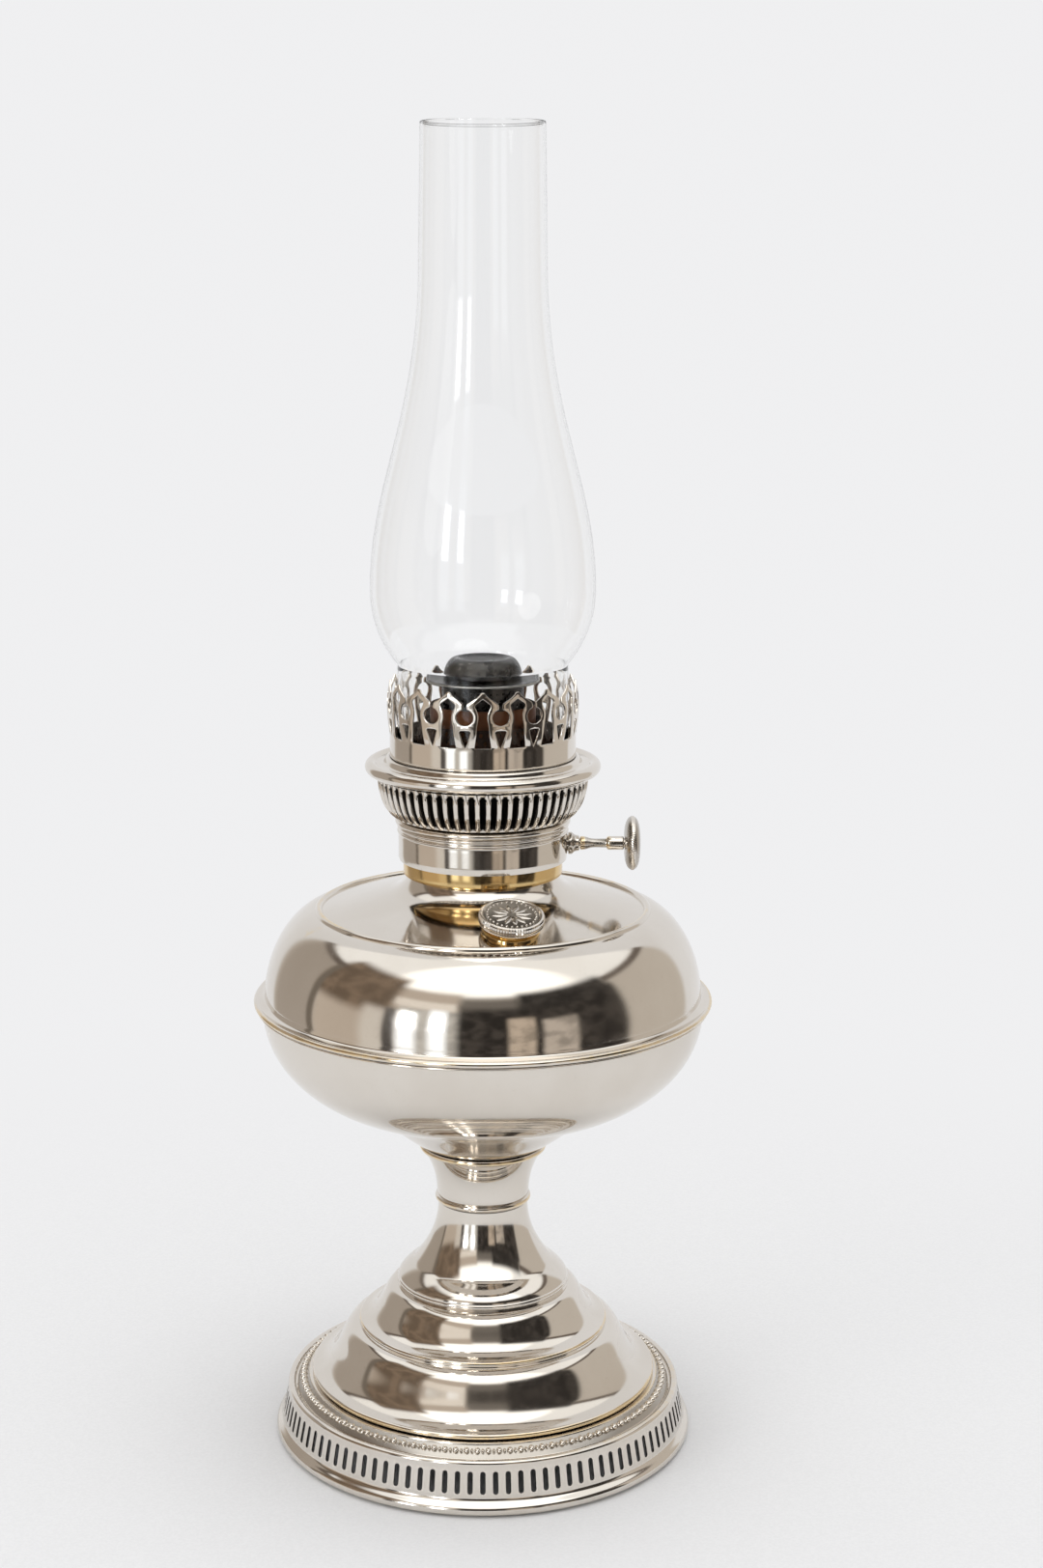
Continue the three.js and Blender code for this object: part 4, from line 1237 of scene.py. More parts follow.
@dataclass
class Foot(Assembly):
    """Rolled rim, slotted air wall, ridge and beaded band that the lamp stands on."""

    sheet: float = 0.6
    rim_roll: float = 2.4
    rim_height: float = 7.4
    rim_step: float = 2.8
    # Bends of the cove from the rim to the wall: how far inwards of each, and how high
    rim_bend: Point = (1.6, 5.0)
    wall_bend: Point = (0.15, 5.7)
    wall_rise: float = 10.2
    wall_lean: float = 2.1
    slots: int = 104
    slot_width: float = 2.1
    slot_height: float = 8.9
    ridge_roll: float = 1.6
    band_run: float = 6.2
    # Distance of the channel of the beads from each edge of the band, across and in height
    channel: Pair = (0.9, 0.75)
    channel_dirt: float = -0.34
    ledge_run: float = 3.4
    ledge_roll: float = 0.5
    beads: int = 110
    bead_lift: float = 0.6
    bead_radius: float = 1.2
    bead_stretch: float = 1.25
    reel_radius: float = 0.65
    reel_stretch: float = 2.1

    def build(self) -> None:
        """Builds the foot and the beads on its band."""
        place = span("slotted_foot")
        radius, rim = place.radius, self.rim_roll
        wall = (radius - self.rim_step, self.rim_height)
        wall_top = (wall[0] - self.wall_lean, wall[1] + self.wall_rise)
        ridge = (wall_top[0] - self.ridge_roll, wall_top[1] + self.ridge_roll)
        band = (ridge[0] - self.ridge_roll, ridge[1])
        ledge = (band[0] - self.band_run, place.top)
        step, sink = self.channel
        path = Outline().to((radius - 2 * rim, 0.0), (radius - rim, 0.0))
        path.roll((radius - rim, rim), rim, -80, 48, 12, 0.3)
        path.curve((radius - self.rim_bend[0], self.rim_bend[1]),
                   (wall[0] - self.wall_bend[0], self.wall_bend[1]), wall, 10)
        start = len(path.points) - 1
        path.to(wall_top).roll(ridge, self.ridge_roll, -5, 172, 12, 0.5)
        path.to((band[0] - 0.5, band[1] + 0.1, 0.3), (band[0] - step, band[1] + sink, self.channel_dirt),
                (ledge[0] + step, ledge[1] - sink, self.channel_dirt))
        path.roll((ledge[0] + 0.4, ledge[1] - self.ledge_roll), self.ledge_roll, 30, 100, 4, 0.9)
        path.to((ledge[0] - self.ledge_run, ledge[1]))
        datum = (wall[0] + wall_top[0]) / 2
        middle = path.height_at((wall[1] + wall_top[1]) / 2, start, start + 1)
        slot = rounded_slot((0.0, middle), self.slot_width, self.slot_height)
        sheet = PiercedSheet(path, self.sheet, self.slots, datum, [slot])
        self.shop.make("foot", sheet, Body.LAMP, Slot.NICKEL, "slotted_foot")
        self.string_beads((band[0] + ledge[0]) / 2, (band[1] + ledge[1]) / 2 + self.bead_lift)

    def string_beads(self, radius: float, height: float) -> None:
        """Sets the row of beads, with a reel between each two, on the band.

        Args:
            radius: Radius of the row.
            height: Height of the row.
        """
        half_pitch = Matrix.Rotation(math.pi / self.beads, 4, "Z")
        for name, size, stretch, place in (
            ("foot_beads", self.bead_radius, self.bead_stretch, None),
            ("foot_reels", self.reel_radius, self.reel_stretch, half_pitch),
        ):
            row = BeadRow(radius, height, size, self.beads, stretch)
            self.shop.make(name, row, Body.LAMP, Slot.NICKEL, place=place)


@dataclass
class Stem(Assembly):
    """Two bell steps, the concave cone above them, and the waisted spool under the font."""

    sheet: float = 1.0
    # Bends of a bell: shares of its run and rise at the foot, and of its run at the top
    bell_foot: Point = (0.6, 0.03)
    bell_top: float = 0.45
    lower_radius: float = 50.6
    lower_rise: float = 22.2
    upper_radius: float = 34.9
    upper_rise: float = 38.7
    step_roll: float = 1.2
    brow_radius: float = 31.55
    crown_radius: float = 28.2
    crown_rise: float = 47.1
    flare_share: float = 0.23
    waist_share: float = 0.55
    stem_radius: float = 18.1
    bead: float = 1.1
    spool_repeats: int = 120

    def bell(self, path: Outline, top: Point) -> None:
        """Adds a bell from where a path stands to a point.

        Args:
            path: The path.
            top: Where the bell ends.
        """
        foot = path.points[-1]
        run = foot[0] - top[0]
        rise = top[1] - foot[1]
        sweep = (foot[0] - self.bell_foot[0] * run, foot[1] + self.bell_foot[1] * rise)
        path.curve(sweep, (top[0] + self.bell_top * run, top[1]), top, 22)

    def build(self) -> None:
        """Builds the pedestal and the spool."""
        self.pedestal()
        self.spool()

    def pedestal(self) -> None:
        """Builds the two bells and the cone as one spun shell."""
        place = span("pedestal_shell")
        roll = self.step_roll
        lower, upper = place.foot + self.lower_rise, place.foot + self.upper_rise
        crown = (self.crown_radius, place.foot + self.crown_rise)
        neck = place.top - crown[1]
        path = Outline().to((place.radius - roll, place.foot))
        path.roll((place.radius - roll, place.foot + roll), roll, -80, 85, 8, 0.95)
        self.bell(path, (self.lower_radius, lower - roll))
        path.roll((self.lower_radius - roll, lower), roll, -30, 88, 8, 0.9)
        self.bell(path, (self.upper_radius, upper - roll))
        path.to((self.upper_radius - 0.5, upper - 0.3, 0.4))
        path.roll((self.upper_radius - roll, upper + 0.6), roll, -20, 45, 6, 0.5)
        path.curve((self.upper_radius - 0.1, crown[1] - 5.4),
                   (self.brow_radius, crown[1] - 2.2), crown, 12)
        flare = ((crown[0] + self.stem_radius) / 2, crown[1] + self.flare_share * neck)
        waist = (self.stem_radius, crown[1] + self.waist_share * neck)
        path.curve(flare, waist, (self.stem_radius, place.top), 22)
        shell = Turning(path.walled(self.sheet))
        self.shop.make("pedestal", shell, Body.LAMP, Slot.NICKEL, "pedestal_shell")

    def spool(self) -> None:
        """Builds the waisted spool with its two rubbed beads."""
        place = span("stem_spool")
        bead = self.bead
        bore = self.stem_radius - self.sheet
        waist = (self.stem_radius + 0.5, place.foot + 3 * bead)
        flare = (place.radius - bead, place.top - 2 * bead)
        rise = flare[1] - waist[1]
        path = Outline().to((self.stem_radius - 0.4, place.foot))
        path.roll((self.stem_radius - 0.1, place.foot + 1.3 * bead), 1.25 * bead, -75, 80, 10, 1.0)
        path.to(waist)
        path.curve((waist[0], waist[1] + 0.45 * rise),
                   ((waist[0] + flare[0]) / 2, flare[1] - 0.2 * rise), flare, 18)
        path.roll((place.radius - bead, place.top - bead), bead, -75, 85, 8, 1.0)
        path.to((place.radius - bead - self.sheet, place.top), (bore, waist[1] + 0.3 * rise),
                (bore, place.foot))
        spool = Turning(path, self.spool_repeats)
        self.shop.make("spool", spool, Body.LAMP, Slot.NICKEL, "stem_spool")


# Oil font


@dataclass
class Font(Assembly):
    """Two spun shells joined at a rolled seam, the dished top and the brass ring on its neck."""

    sheet: float = 1.0
    repeats: int = 168
    bowl_radius: float = 88.0
    ogee_radius: float = 57.3
    ogee_rise: float = 19.7
    ogee_foot: float = 24.5
    bore: float = 16.3
    lip_roll: float = 0.5
    seam_roll: float = 1.15
    seam_rise: float = 3.0
    shoulder_radius: float = 65.2
    shoulder_rise: float = 39.1
    shoulder_roll: float = 1.5
    dish_radius: float = 36.4
    dish_rise: float = 6.0
    neck_radius: float = 28.5
    neck_roll: float = 0.9
    filler_hole: float = 9.9
    drill_reach: float = 8.0
    drill_sides: int = 48
    ring_skirt: float = 1.1
    ring_lip: float = 1.3
    ring_roll: float = 0.8

    def build(self) -> None:
        """Builds the lower shell, the upper shell and the ring."""
        self.lower()
        self.upper()
        self.ring()

    def lower(self) -> None:
        """Builds the lower shell with its ogee underside."""
        place = span("font_lower_shell")
        foot = (self.ogee_foot, place.foot)
        side = (self.bowl_radius, place.top - self.sheet)
        ogee = (self.ogee_radius, place.foot + self.ogee_rise)
        run, rise = ogee[0] - foot[0], self.ogee_rise
        wide, tall = side[0] - ogee[0], side[1] - ogee[1]
        lip = self.lip_roll
        path = Outline().to((self.bore, place.foot), foot)
        path.curve((foot[0] + 0.3 * run, foot[1] + 0.25 * rise),
                   (ogee[0] - 0.38 * run, ogee[1] - 0.09 * rise), ogee, 18)
        path.curve((ogee[0] + 0.15 * wide, ogee[1] + 0.02 * tall),
                   (side[0], side[1] - 0.68 * tall), side, 30)
        path.roll((place.radius - lip, place.top - lip), lip, -80, 80, 6, 0.6)
        shell = Turning(path.walled(self.sheet), self.repeats)
        self.shop.make("font_lower", shell, Body.LAMP, Slot.NICKEL, "font_lower_shell")

    def upper(self) -> None:
        """Builds the upper shell, with the hole under the filler."""
        place = span("font_upper_shell")
        seam, roll, neck = self.seam_roll, self.shoulder_roll, self.neck_radius
        side = (self.bowl_radius - self.sheet, place.foot + self.seam_rise)
        shoulder = (self.shoulder_radius, place.foot + self.shoulder_rise)
        dish = (self.dish_radius, shoulder[1] + self.dish_rise)
        brow = (shoulder[0] + roll, shoulder[1] - roll)
        rise, run = brow[1] - side[1], side[0] - brow[0]
        path = Outline().to((self.bowl_radius, place.foot))
        path.roll((place.radius - seam, place.foot + seam), seam, -85, 120, 12, 0.85)
        path.curve((side[0] + 1.0, side[1] - 0.6), (side[0], side[1] - 0.2), (side[0], side[1] + 0.4), 4)
        path.curve((side[0], side[1] + 0.44 * rise),
                   (side[0] - 0.43 * run, brow[1] - 0.05 * rise), brow, 32)
        path.roll((shoulder[0], shoulder[1] - roll), roll, 25, 165, 10, 0.65)
        path.to((dish[0] + 2.8, dish[1] - 0.57))
        path.curve((dish[0] - 0.8, dish[1] + 0.2), (neck + 2.9, dish[1] + 1.9),
                   (neck + 1.1, place.top - 1.3), 20)
        path.roll((neck - 0.2, place.top - self.neck_roll), self.neck_roll, -60, 75, 6, 0.2)
        turning = Turning(path.walled(self.sheet), self.repeats)
        shell = self.shop.shape("font_upper", turning, Slot.NICKEL)
        self.bored(shell)
        self.shop.settle(shell, Body.LAMP, Slot.NICKEL, "font_upper_shell")

    def bored(self, shell: bpy.types.Object) -> None:
        """Cuts the filler hole through the dished top.

        Args:
            shell: The upper shell.
        """
        hole, reach = self.filler_hole, self.drill_reach
        path = Outline().to((0.0, -reach), (hole, -reach), (hole, reach), (0.0, reach))
        turning = Turning(path, self.drill_sides, closed=False)
        drill = self.shop.shape("drill", turning, Slot.NICKEL, filler_place())
        cutter = shell.modifiers.new("filler_hole", "BOOLEAN")
        cutter.operation = "DIFFERENCE"
        cutter.solver = "EXACT"
        cutter.object = drill
        made_plain(shell)
        bpy.data.objects.remove(drill)
        smoothed(shell.data)

    def ring(self) -> None:
        """Builds the bare brass ring on the neck."""
        place = span("font_collar")
        roll = self.ring_roll
        bore = self.neck_radius - self.sheet
        inner, edge = place.radius - self.ring_lip, place.radius - roll
        skirt = place.foot - self.ring_skirt
        path = Outline().to((bore, place.foot), (inner, place.foot), (inner, skirt), (edge, skirt))
        path.roll((edge, skirt + roll), roll, -80, 0, 4)
        path.roll((edge, place.top - roll), roll, 0, 85, 4)
        path.to((bore, place.top))
        self.shop.make("font_ring", Turning(path), Body.LAMP, Slot.BRASS, "font_collar")


@dataclass
class Filler(Assembly):
    """Short brass neck, cork washer and the embossed screw cap."""

    repeats: int = 72
    neck_radius: float = 9.6
    neck_foot: float = -2.0
    neck_height: float = 4.6
    flange: float = 11.2
    flange_foot: float = 0.3
    flange_top: float = 1.3
    threads: int = 3
    thread_foot: float = 1.6
    thread_pitch: float = 0.9
    thread_depth: float = 0.3
    sheet: float = 1.0
    gasket_foot: float = 4.9
    gasket_top: float = 5.6
    gasket_round: float = 0.15
    cap_radius: float = 12.6
    cap_foot: float = 3.0
    cap_under: float = 5.9
    cap_top: float = 7.2
    cap_bore: float = 10.2
    cap_sink: float = 0.6
    cap_dirt: float = -0.4
    mills: int = 72
    mill_depth: float = 0.35
    mill_columns: int = 4
    petals: int = 12
    beads: int = 30
    bead_inset: float = 3.3
    bead_radius: float = 0.5

    def build(self) -> None:
        """Builds the neck, the washer and the cap."""
        self.neck()
        self.washer()
        self.cap()

    def neck(self) -> None:
        """Builds the threaded neck and its flange."""
        radius, flange = self.neck_radius, self.flange
        bore = radius - self.sheet
        root = radius - self.thread_depth
        path = Outline().to(
            (bore, self.neck_foot), (radius, self.neck_foot), (radius, self.flange_foot),
            (flange, self.flange_foot), (flange, 1.0, 0.5), (flange - 0.5, self.flange_top, 0.5),
            (radius, self.flange_top),
        )
        for turn in range(self.threads):
            foot = self.thread_foot + self.thread_pitch * turn
            path.to((root, foot), (radius, foot + self.thread_pitch / 2, 0.4))
        path.to((root, self.neck_height), (bore, self.neck_height))
        neck = Turning(path, self.repeats)
        self.shop.make("filler_neck_tube", neck, Body.LAMP, Slot.BRASS, "filler_neck",
                       place=filler_place())

    def washer(self) -> None:
        """Builds the cork washer."""
        radius, soft = self.neck_radius, self.gasket_round
        bore = radius - self.sheet
        foot, top = self.gasket_foot, self.gasket_top
        path = Outline().to(
            (bore, foot), (radius - soft, foot), (radius, foot + soft),
            (radius, top - soft), (radius - soft, top), (bore, top),
        )
        washer = Turning(path, self.repeats)
        self.shop.make("filler_washer", washer, Body.SEAL, Slot.CORK, "filler_gasket",
                       place=filler_place())

    def cap(self) -> None:
        """Builds the milled cap, with a plain beaded rosette on its top."""
        radius, foot, top = self.cap_radius, self.cap_foot, self.cap_top
        face = top - self.cap_sink
        path = Outline().to(
            (0.0, self.cap_under), (self.cap_bore, self.cap_under), (self.cap_bore, foot),
            (radius - 1.0, foot), (radius - 0.3, foot + 0.3, 0.5), (radius, foot + 0.9, 0.4),
            (radius, top - 1.0, 0.4), (radius - 0.35, top - 0.3, 0.5),
        )
        mill = milling(self.mill_depth, range(4, len(path.points)))
        path.roll((radius - 1.3, top - 0.7), 0.7, 70, 160, 5, 0.3)
        path.to((radius - 2.3, face, self.cap_dirt), (0.0, face, self.cap_dirt))
        cap = Turning(path, self.mills, False, self.mill_columns, mill)
        beads = BeadRow(radius - self.bead_inset, face, self.bead_radius, self.beads)
        place = filler_place()
        self.shop.make("filler_lid_cap", cap, Body.LID, Slot.NICKEL, "filler_cap", place=place)
        self.shop.make("filler_lid_beads", beads, Body.LID, Slot.NICKEL, place=place)
        rosette = Rosette(face, self.petals)
        self.shop.make("filler_lid_rosette", rosette, Body.LID, Slot.NICKEL, place=place)


# Burner and wick


@dataclass
class Burner(Assembly):
    """Nickel collar with its gland, the deck, and the tubes that hold the wick."""

    sheet: float = 0.6
    tube_wall: float = 0.8
    tube_rows: int = 40
    tube_columns: int = 72
    tube_repeats: int = 96
    # Height over which the painted shade on the wick tube fades in below the gallery
    shade_run: float = 15.0
    window_below: float = 15.4
    window_above: float = 7.4
    window_side: float = 6.0
    window_half: float = 2.9
    collar_radius: float = 33.4
    collar_bore: float = 32.4
    collar_bead: float = 1.3
    collar_columns: int = 96
    collar_rows: int = 8
    row_rise: float = 0.95
    # Depths of the two crests below the top
    crests: Pair = (5.3, 3.3)
    crest_roll: float = 0.62
    crest_reach: float = 0.75
    skirt: float = 1.7
    gland_hole: float = 3.6
    gland_bore: float = 2.3
    gland_spigot: float = 3.3
    gland_start: float = 31.4
    gland_radius: float = 4.4
    gland_length: float = 4.4
    gland_dirt: float = -0.25
    gland_repeats: int = 48

    def build(self) -> None:
        """Builds the collar, its gland and the tubes."""
        self.collar()
        self.gland()
        self.draught_pipe()
        self.wick_pipe()
        self.shop.paint("burner_deck", Slot.BRASS)

    def collar(self) -> None:
        """Builds the collar, with grooves under its bead and a hole for the gland."""
        place = span("burner_collar")
        radius, bead = self.collar_radius, self.collar_bead
        skirt = place.foot - self.skirt
        path = Outline().to((radius - CHAMFER, skirt), (radius, skirt + CHAMFER))
        start = len(path.points)
        for step in range(self.collar_rows + 1):
            path.to((radius, place.foot + 0.4 + step * self.row_rise))
        end = len(path.points) - 1
        for drop in self.crests:
            crest = place.top - drop
            path.to((radius - 0.1, crest - self.crest_reach))
            path.roll((radius - 0.15, crest), self.crest_roll, -80, 80, 6, 0.3)
            path.to((radius - 0.1, crest + self.crest_reach))
        path.roll((radius, place.top - bead), bead - 0.05, -75, 88, 8, 0.45)
        path.to((self.collar_bore + 0.6, place.top))
        hole_row = path.height_at(shaft_place().translation.z / MM, start, end)
        hole = ellipse((0.0, hole_row), self.gland_hole, self.gland_hole, 24)
        columns = even_columns(self.collar_columns)
        sheet = PiercedSheet(path, self.sheet, 1, radius, [hole], columns, room=0.5)
        self.shop.make("collar", sheet, Body.LAMP, Slot.NICKEL, "burner_collar")

    def gland(self) -> None:
        """Builds the turned boss where the shaft comes out."""
        bore, spigot, wide = self.gland_bore, self.gland_spigot, self.gland_radius
        face = self.collar_radius + PLAY
        end = face + self.gland_length
        path = Outline().to(
            (bore, self.gland_start), (spigot, self.gland_start), (spigot, face), (4.1, face),
            (wide, face + CHAMFER, -0.2), (wide, face + 1.2, self.gland_dirt),
        )
        path.curve((4.3, face + 2.0), (3.3, face + 2.0), (3.2, face + 3.2), 8, self.gland_dirt)
        path.to((3.1, end - CHAMFER, 0.3), (2.8, end, 0.4), (bore, end))
        gland = Turning(path, self.gland_repeats)
        self.shop.make("gland", gland, Body.LAMP, Slot.NICKEL, "shaft_gland", place=shaft_place())

    def draught_pipe(self) -> None:
        """Builds the inner tube that carries the air."""
        place = span("draught_tube")
        radius, bore = place.radius, place.radius - self.tube_wall
        path = Outline().to(
            (radius, place.foot), (radius, place.top - CHAMFER), (radius - 0.2, place.top),
            (bore, place.top), (bore, place.foot),
        )
        pipe = Turning(path, self.tube_repeats)
        self.shop.make("draught_pipe", pipe, Body.LAMP, Slot.BRASS, "draught_tube")

    def wick_pipe(self) -> None:
        """Builds the outer wick tube, darkened below the gallery with painted shade, with a window for
        the rack.
        """
        place = span("outer_wick_tube")
        radius, clean = place.radius, span("gallery_rim").top
        path = Outline()
        for step in range(self.tube_rows + 1):
            height = place.foot + (place.top - place.foot) * step / self.tube_rows
            # Painted shade darkens the tube below the gallery rim, fading in over the shade run.
            shade_share = min(max((clean - height) / self.shade_run, 0.0), 1.0)
            path.to((radius, height, SOOT_AND_SHADE * shade_share))
        rack = span("wick_rack").top
        low = rack - self.window_below - place.foot
        high = rack + self.window_above - place.foot
        middle = -math.asin(self.window_side / radius) * radius
        left, right = middle - self.window_half, middle + self.window_half
        window = [(left, low), (right, low), (right, high), (left, high)]
        columns = even_columns(self.tube_columns)
        sheet = PiercedSheet(path, self.tube_wall, 1, radius, [window], columns, room=0.3)
        self.shop.make("wick_pipe", sheet, Body.LAMP, Slot.BROWNED, "outer_wick_tube")


@dataclass
class WickRaiser(Assembly):
    """Wick, carrier and rack, and the knob, shaft and pinion that lift them."""

    wick_bore: float = 16.4
    wick_radius: float = 18.6
    wick_round: float = 0.8
    wick_repeats: int = 96
    carrier_wall: float = 0.7
    shaft_start: float = 38.4
    shaft_repeats: int = 40
    shaft_radius: float = 2.0
    shaft_waist: float = 1.7
    shaft_end: float = 2.7
    sleeve_length: float = 6.4
    tenon: float = 1.7
    knob_face: float = 55.7
    knob_radius: float = 10.7
    knob_width: float = 6.2
    knob_hub: float = 4.2
    knob_belly: float = 0.62
    knob_mills: int = 96
    mill_depth: float = 0.1
    mill_columns: int = 4
    knob_dirt: float = -0.33

    def build(self) -> None:
        """Builds the wick, its carrier, the shaft and the knob."""
        self.wick()
        self.carrier()
        self.shaft()
        self.knob()
        self.shop.paint("wick_rack", Slot.BRASS)
        self.shop.paint("drive_pinion", Slot.BRASS)

    def wick(self) -> None:
        """Builds the braided wick, which is thinner inside its carrier."""
        place = span("wick")
        bore, radius, slim = self.wick_bore, place.radius, self.wick_radius
        step, brow = span("wick_carrier").top + PLAY, place.top - self.wick_round
        path = Outline().to(
            (bore, place.foot), (slim, place.foot), (slim, step), (radius, step), (radius, brow),
        )
        path.curve((radius, place.top), (bore, place.top), (bore, brow), 8)
        wick = Turning(path, self.wick_repeats)
        self.shop.make("wick_braid", wick, Body.WICK, Slot.COTTON, "wick")

    def carrier(self) -> None:
        """Builds the sleeve that holds the wick."""
        place = span("wick_carrier")
        radius, bore = place.radius, place.radius - self.carrier_wall
        path = Outline().to(
            (bore, place.foot), (radius, place.foot), (radius, place.top), (bore, place.top),
        )
        sleeve = Turning(path, self.wick_repeats)
        self.shop.make("wick_sleeve", sleeve, Body.WICK, Slot.BRASS, "wick_carrier")

    def shaft(self) -> None:
        """Builds the spindle: a worn cone by the gland, a slender waist and a sleeve by the knob."""
        start, face = self.shaft_start, self.knob_face
        radius, waist, wide, tenon = self.shaft_radius, self.shaft_waist, self.shaft_end, self.tenon
        sleeve = face - self.sleeve_length
        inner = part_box("knob_shaft")[0].x / MM
        end = face + self.knob_width / 2
        path = Outline().to(
            (0.0, inner), (radius, inner), (radius, start), (wide - CHAMFER, start, 0.7),
            (wide, start + 0.4, 0.9), (wide - 0.1, start + 1.8, 0.9),
        )
        path.curve((wide - 0.3, start + 3.0), (waist, start + 3.6), (waist, start + 6.4), 10, -0.3)
        path.to((waist + 0.05, sleeve - 0.9, -0.34))
        path.curve((waist + 0.1, sleeve - 0.2), (wide - 0.1, sleeve - 0.3), (wide, sleeve + 0.5), 6, 0.8)
        path.to((wide, face - 0.4, -0.3), (wide - CHAMFER, face, -0.3), (tenon, face), (tenon, end),
                (0.0, end))
        shaft = Turning(path, self.shaft_repeats, closed=False)
        self.shop.make("spindle", shaft, Body.KNOB, Slot.NICKEL, "knob_shaft", place=shaft_place())

    def knob(self) -> None:
        """Builds the lens-shaped disc knob with its finely milled edge."""
        radius, dirt = self.knob_radius, self.knob_dirt
        foot = self.knob_face + PLAY
        top = foot + self.knob_width
        middle = foot + self.knob_width / 2
        floor = self.knob_face + self.knob_width / 2 + PLAY
        socket, belly = self.tenon + PLAY, radius * self.knob_belly
        path = Outline().to(
            (0.0, floor), (socket, floor), (socket, foot), (self.knob_hub - 1.0, foot, -0.3),
        )
        path.curve((belly, foot), (radius - 1.0, middle - 2.5), (radius - 0.2, middle - 0.7), 16, dirt)
        rows = (len(path.points), len(path.points) + 1)
        path.to((radius, middle - 0.4, 0.1), (radius, middle + 0.4, 0.1),
                (radius - 0.2, middle + 0.7, -0.2))
        path.curve((radius - 1.0, middle + 2.5), (belly, top), (0.0, top), 16, dirt)
        mill = milling(self.mill_depth, rows)
        knob = Turning(path, self.knob_mills, False, self.mill_columns, mill)
        self.shop.make("knob_disc", knob, Body.KNOB, Slot.NICKEL, "wick_knob", place=shaft_place())


# Gallery


@dataclass
class Gallery(Assembly):
    """Ribbed draught basket, rolled rim, pierced coronet and the perforated air cone."""

    sheet: float = 1.0
    ribs: int = 60
    rib_depth: float = 2.0
    rib_crown: float = 1.3
    # How far the hollow of a slot reaches past each end of it, and the length of its fading
    rib_foot: Pair = (1.0, 1.6)
    rib_head: Pair = (0.8, 1.2)
    rib_columns: Sequence[float] = (-0.5, -0.43, -0.36, -0.3, 0.0, 0.3, 0.36, 0.43, 0.5)
    slot_width: float = 2.1
    slot_foot: float = 1.5
    slot_head: float = 1.1
    spigot_radius: float = 31.8
    spigot_length: float = 4.0
    basket_foot: float = 33.2
    basket_bend: float = 38.0
    basket_datum: float = 40.0
    basket_radius: float = 41.5
    rim_bead: float = 2.6
    rim_wall: float = 1.9
    # Radii of the step under the floor, and of the cove above: foot, two bends, top
    rim_step: Pair = (36.5, 37.5)
    rim_cove: tuple[float, float, float, float] = (39.4, 38.3, 38.4, 37.4)
    rim_floor: float = 36.3
    seat_drop: float = 2.4
    arches: int = 17
    arch_rows: int = 26
    arch_columns: int = 8
    coronet_radius: float = 36.5
    coronet_sheet: float = 0.8
    edge_round: float = 0.22
    bow: float = 1.0
    tip_draw: float = 0.6
    band: float = 8.8
    eye_rise: float = 12.2
    eye: float = 3.2
    slit: float = 1.3
    strap: float = 1.8
    tip: float = 1.8
    fitter_bore: float = 30.1
    cone_top: float = 24.1
    # Width and height of the ledge at the foot of the cone
    cone_step: Pair = (2.0, 1.0)
    cone_wall: float = 0.5
    cone_datum: float = 26.3
    cone_rows: Sequence[float] = (0.14, 0.38, 0.62, 0.86)
    cone_steps: int = 8
    cone_holes: int = 44
    cone_hole: Pair = (0.78, 1.0)
    cone_offset: float = 0.24

    def build(self) -> None:
        """Builds the four pieces of the gallery."""
        self.basket()
        self.rim()
        self.coronet()
        self.cone()

    def basket(self) -> None:
        """Builds the bowl of rounded ribs."""
        place = span("draught_basket")
        spigot, wide = self.spigot_radius, self.basket_radius
        seat = place.foot + self.spigot_length
        path = Outline().to(
            (spigot, place.foot), (spigot, seat - 0.4), (spigot + 0.5, seat), (self.basket_foot, seat),
        )
        start = len(path.points) - 1
        path.curve((self.basket_bend, seat + 0.9), (wide - 0.1, seat + 7.6), (wide, place.top), 18)
        end = len(path.points) - 1
        low = path.height_at(seat + self.slot_foot, start, end)
        high = path.height_at(place.top - self.slot_head, start, end)
        pitch = 2 * math.pi * self.basket_datum / self.ribs

        def crowned(x: float, y: float) -> float:
            """Finds how far the sheet sinks from the crest of a rib to its slot.

            Args:
                x: Distance round the axis.
                y: Distance along the outline.

            Returns:
                The sink, which is below 0.
            """
            foot = (y - low + self.rib_foot[0]) / self.rib_foot[1]
            head = (high + self.rib_head[0] - y) / self.rib_head[1]
            share = max(min(foot, head, 1.0), 0.0)
            return -self.rib_crown * share * (0.5 + 0.5 * math.cos(2 * math.pi * x / pitch))

        hole = rounded_slot((0.0, (low + high) / 2), self.slot_width, high - low)
        # The cut edges of the slots are darkened with painted shade, so the slots look dark.
        sheet = PiercedSheet(
            path, self.rib_depth, self.ribs, self.basket_datum, [hole], self.rib_columns,
            crown=crowned, room=0.1, cut_edge_shade=SOOT_AND_SHADE,
        )
        self.shop.make("basket", sheet, Body.GALLERY, Slot.NICKEL, "draught_basket")

    def rim(self) -> None:
        """Builds the wide rolled flange and the floor that the chimney stands on."""
        place = span("gallery_rim")
        bead, bore = self.rim_bead, self.fitter_bore
        seat, under = place.top - self.seat_drop, place.top - self.sheet
        shelf = seat - self.sheet
        wall = self.basket_radius - self.rim_wall
        foot, first, second, top = self.rim_cove
        path = Outline().to(
            (bore, under), (self.rim_step[0], under), (self.rim_step[1], shelf), (wall, shelf),
            (wall, place.foot), (self.basket_radius - 0.1, place.foot),
        )
        path.roll((place.radius - bead, seat - 0.6 * bead), bead, -65, 100, 18, 0.25)
        path.to((place.radius - 1.6 * bead - 0.3, seat), (foot, seat))
        path.curve((first, seat), (second, place.top), (top, place.top), 8)
        path.to((self.rim_floor, place.top, -0.5), (bore, place.top, -0.55))
        self.shop.make("rim", Turning(path), Body.GALLERY, Slot.NICKEL, "gallery_rim")

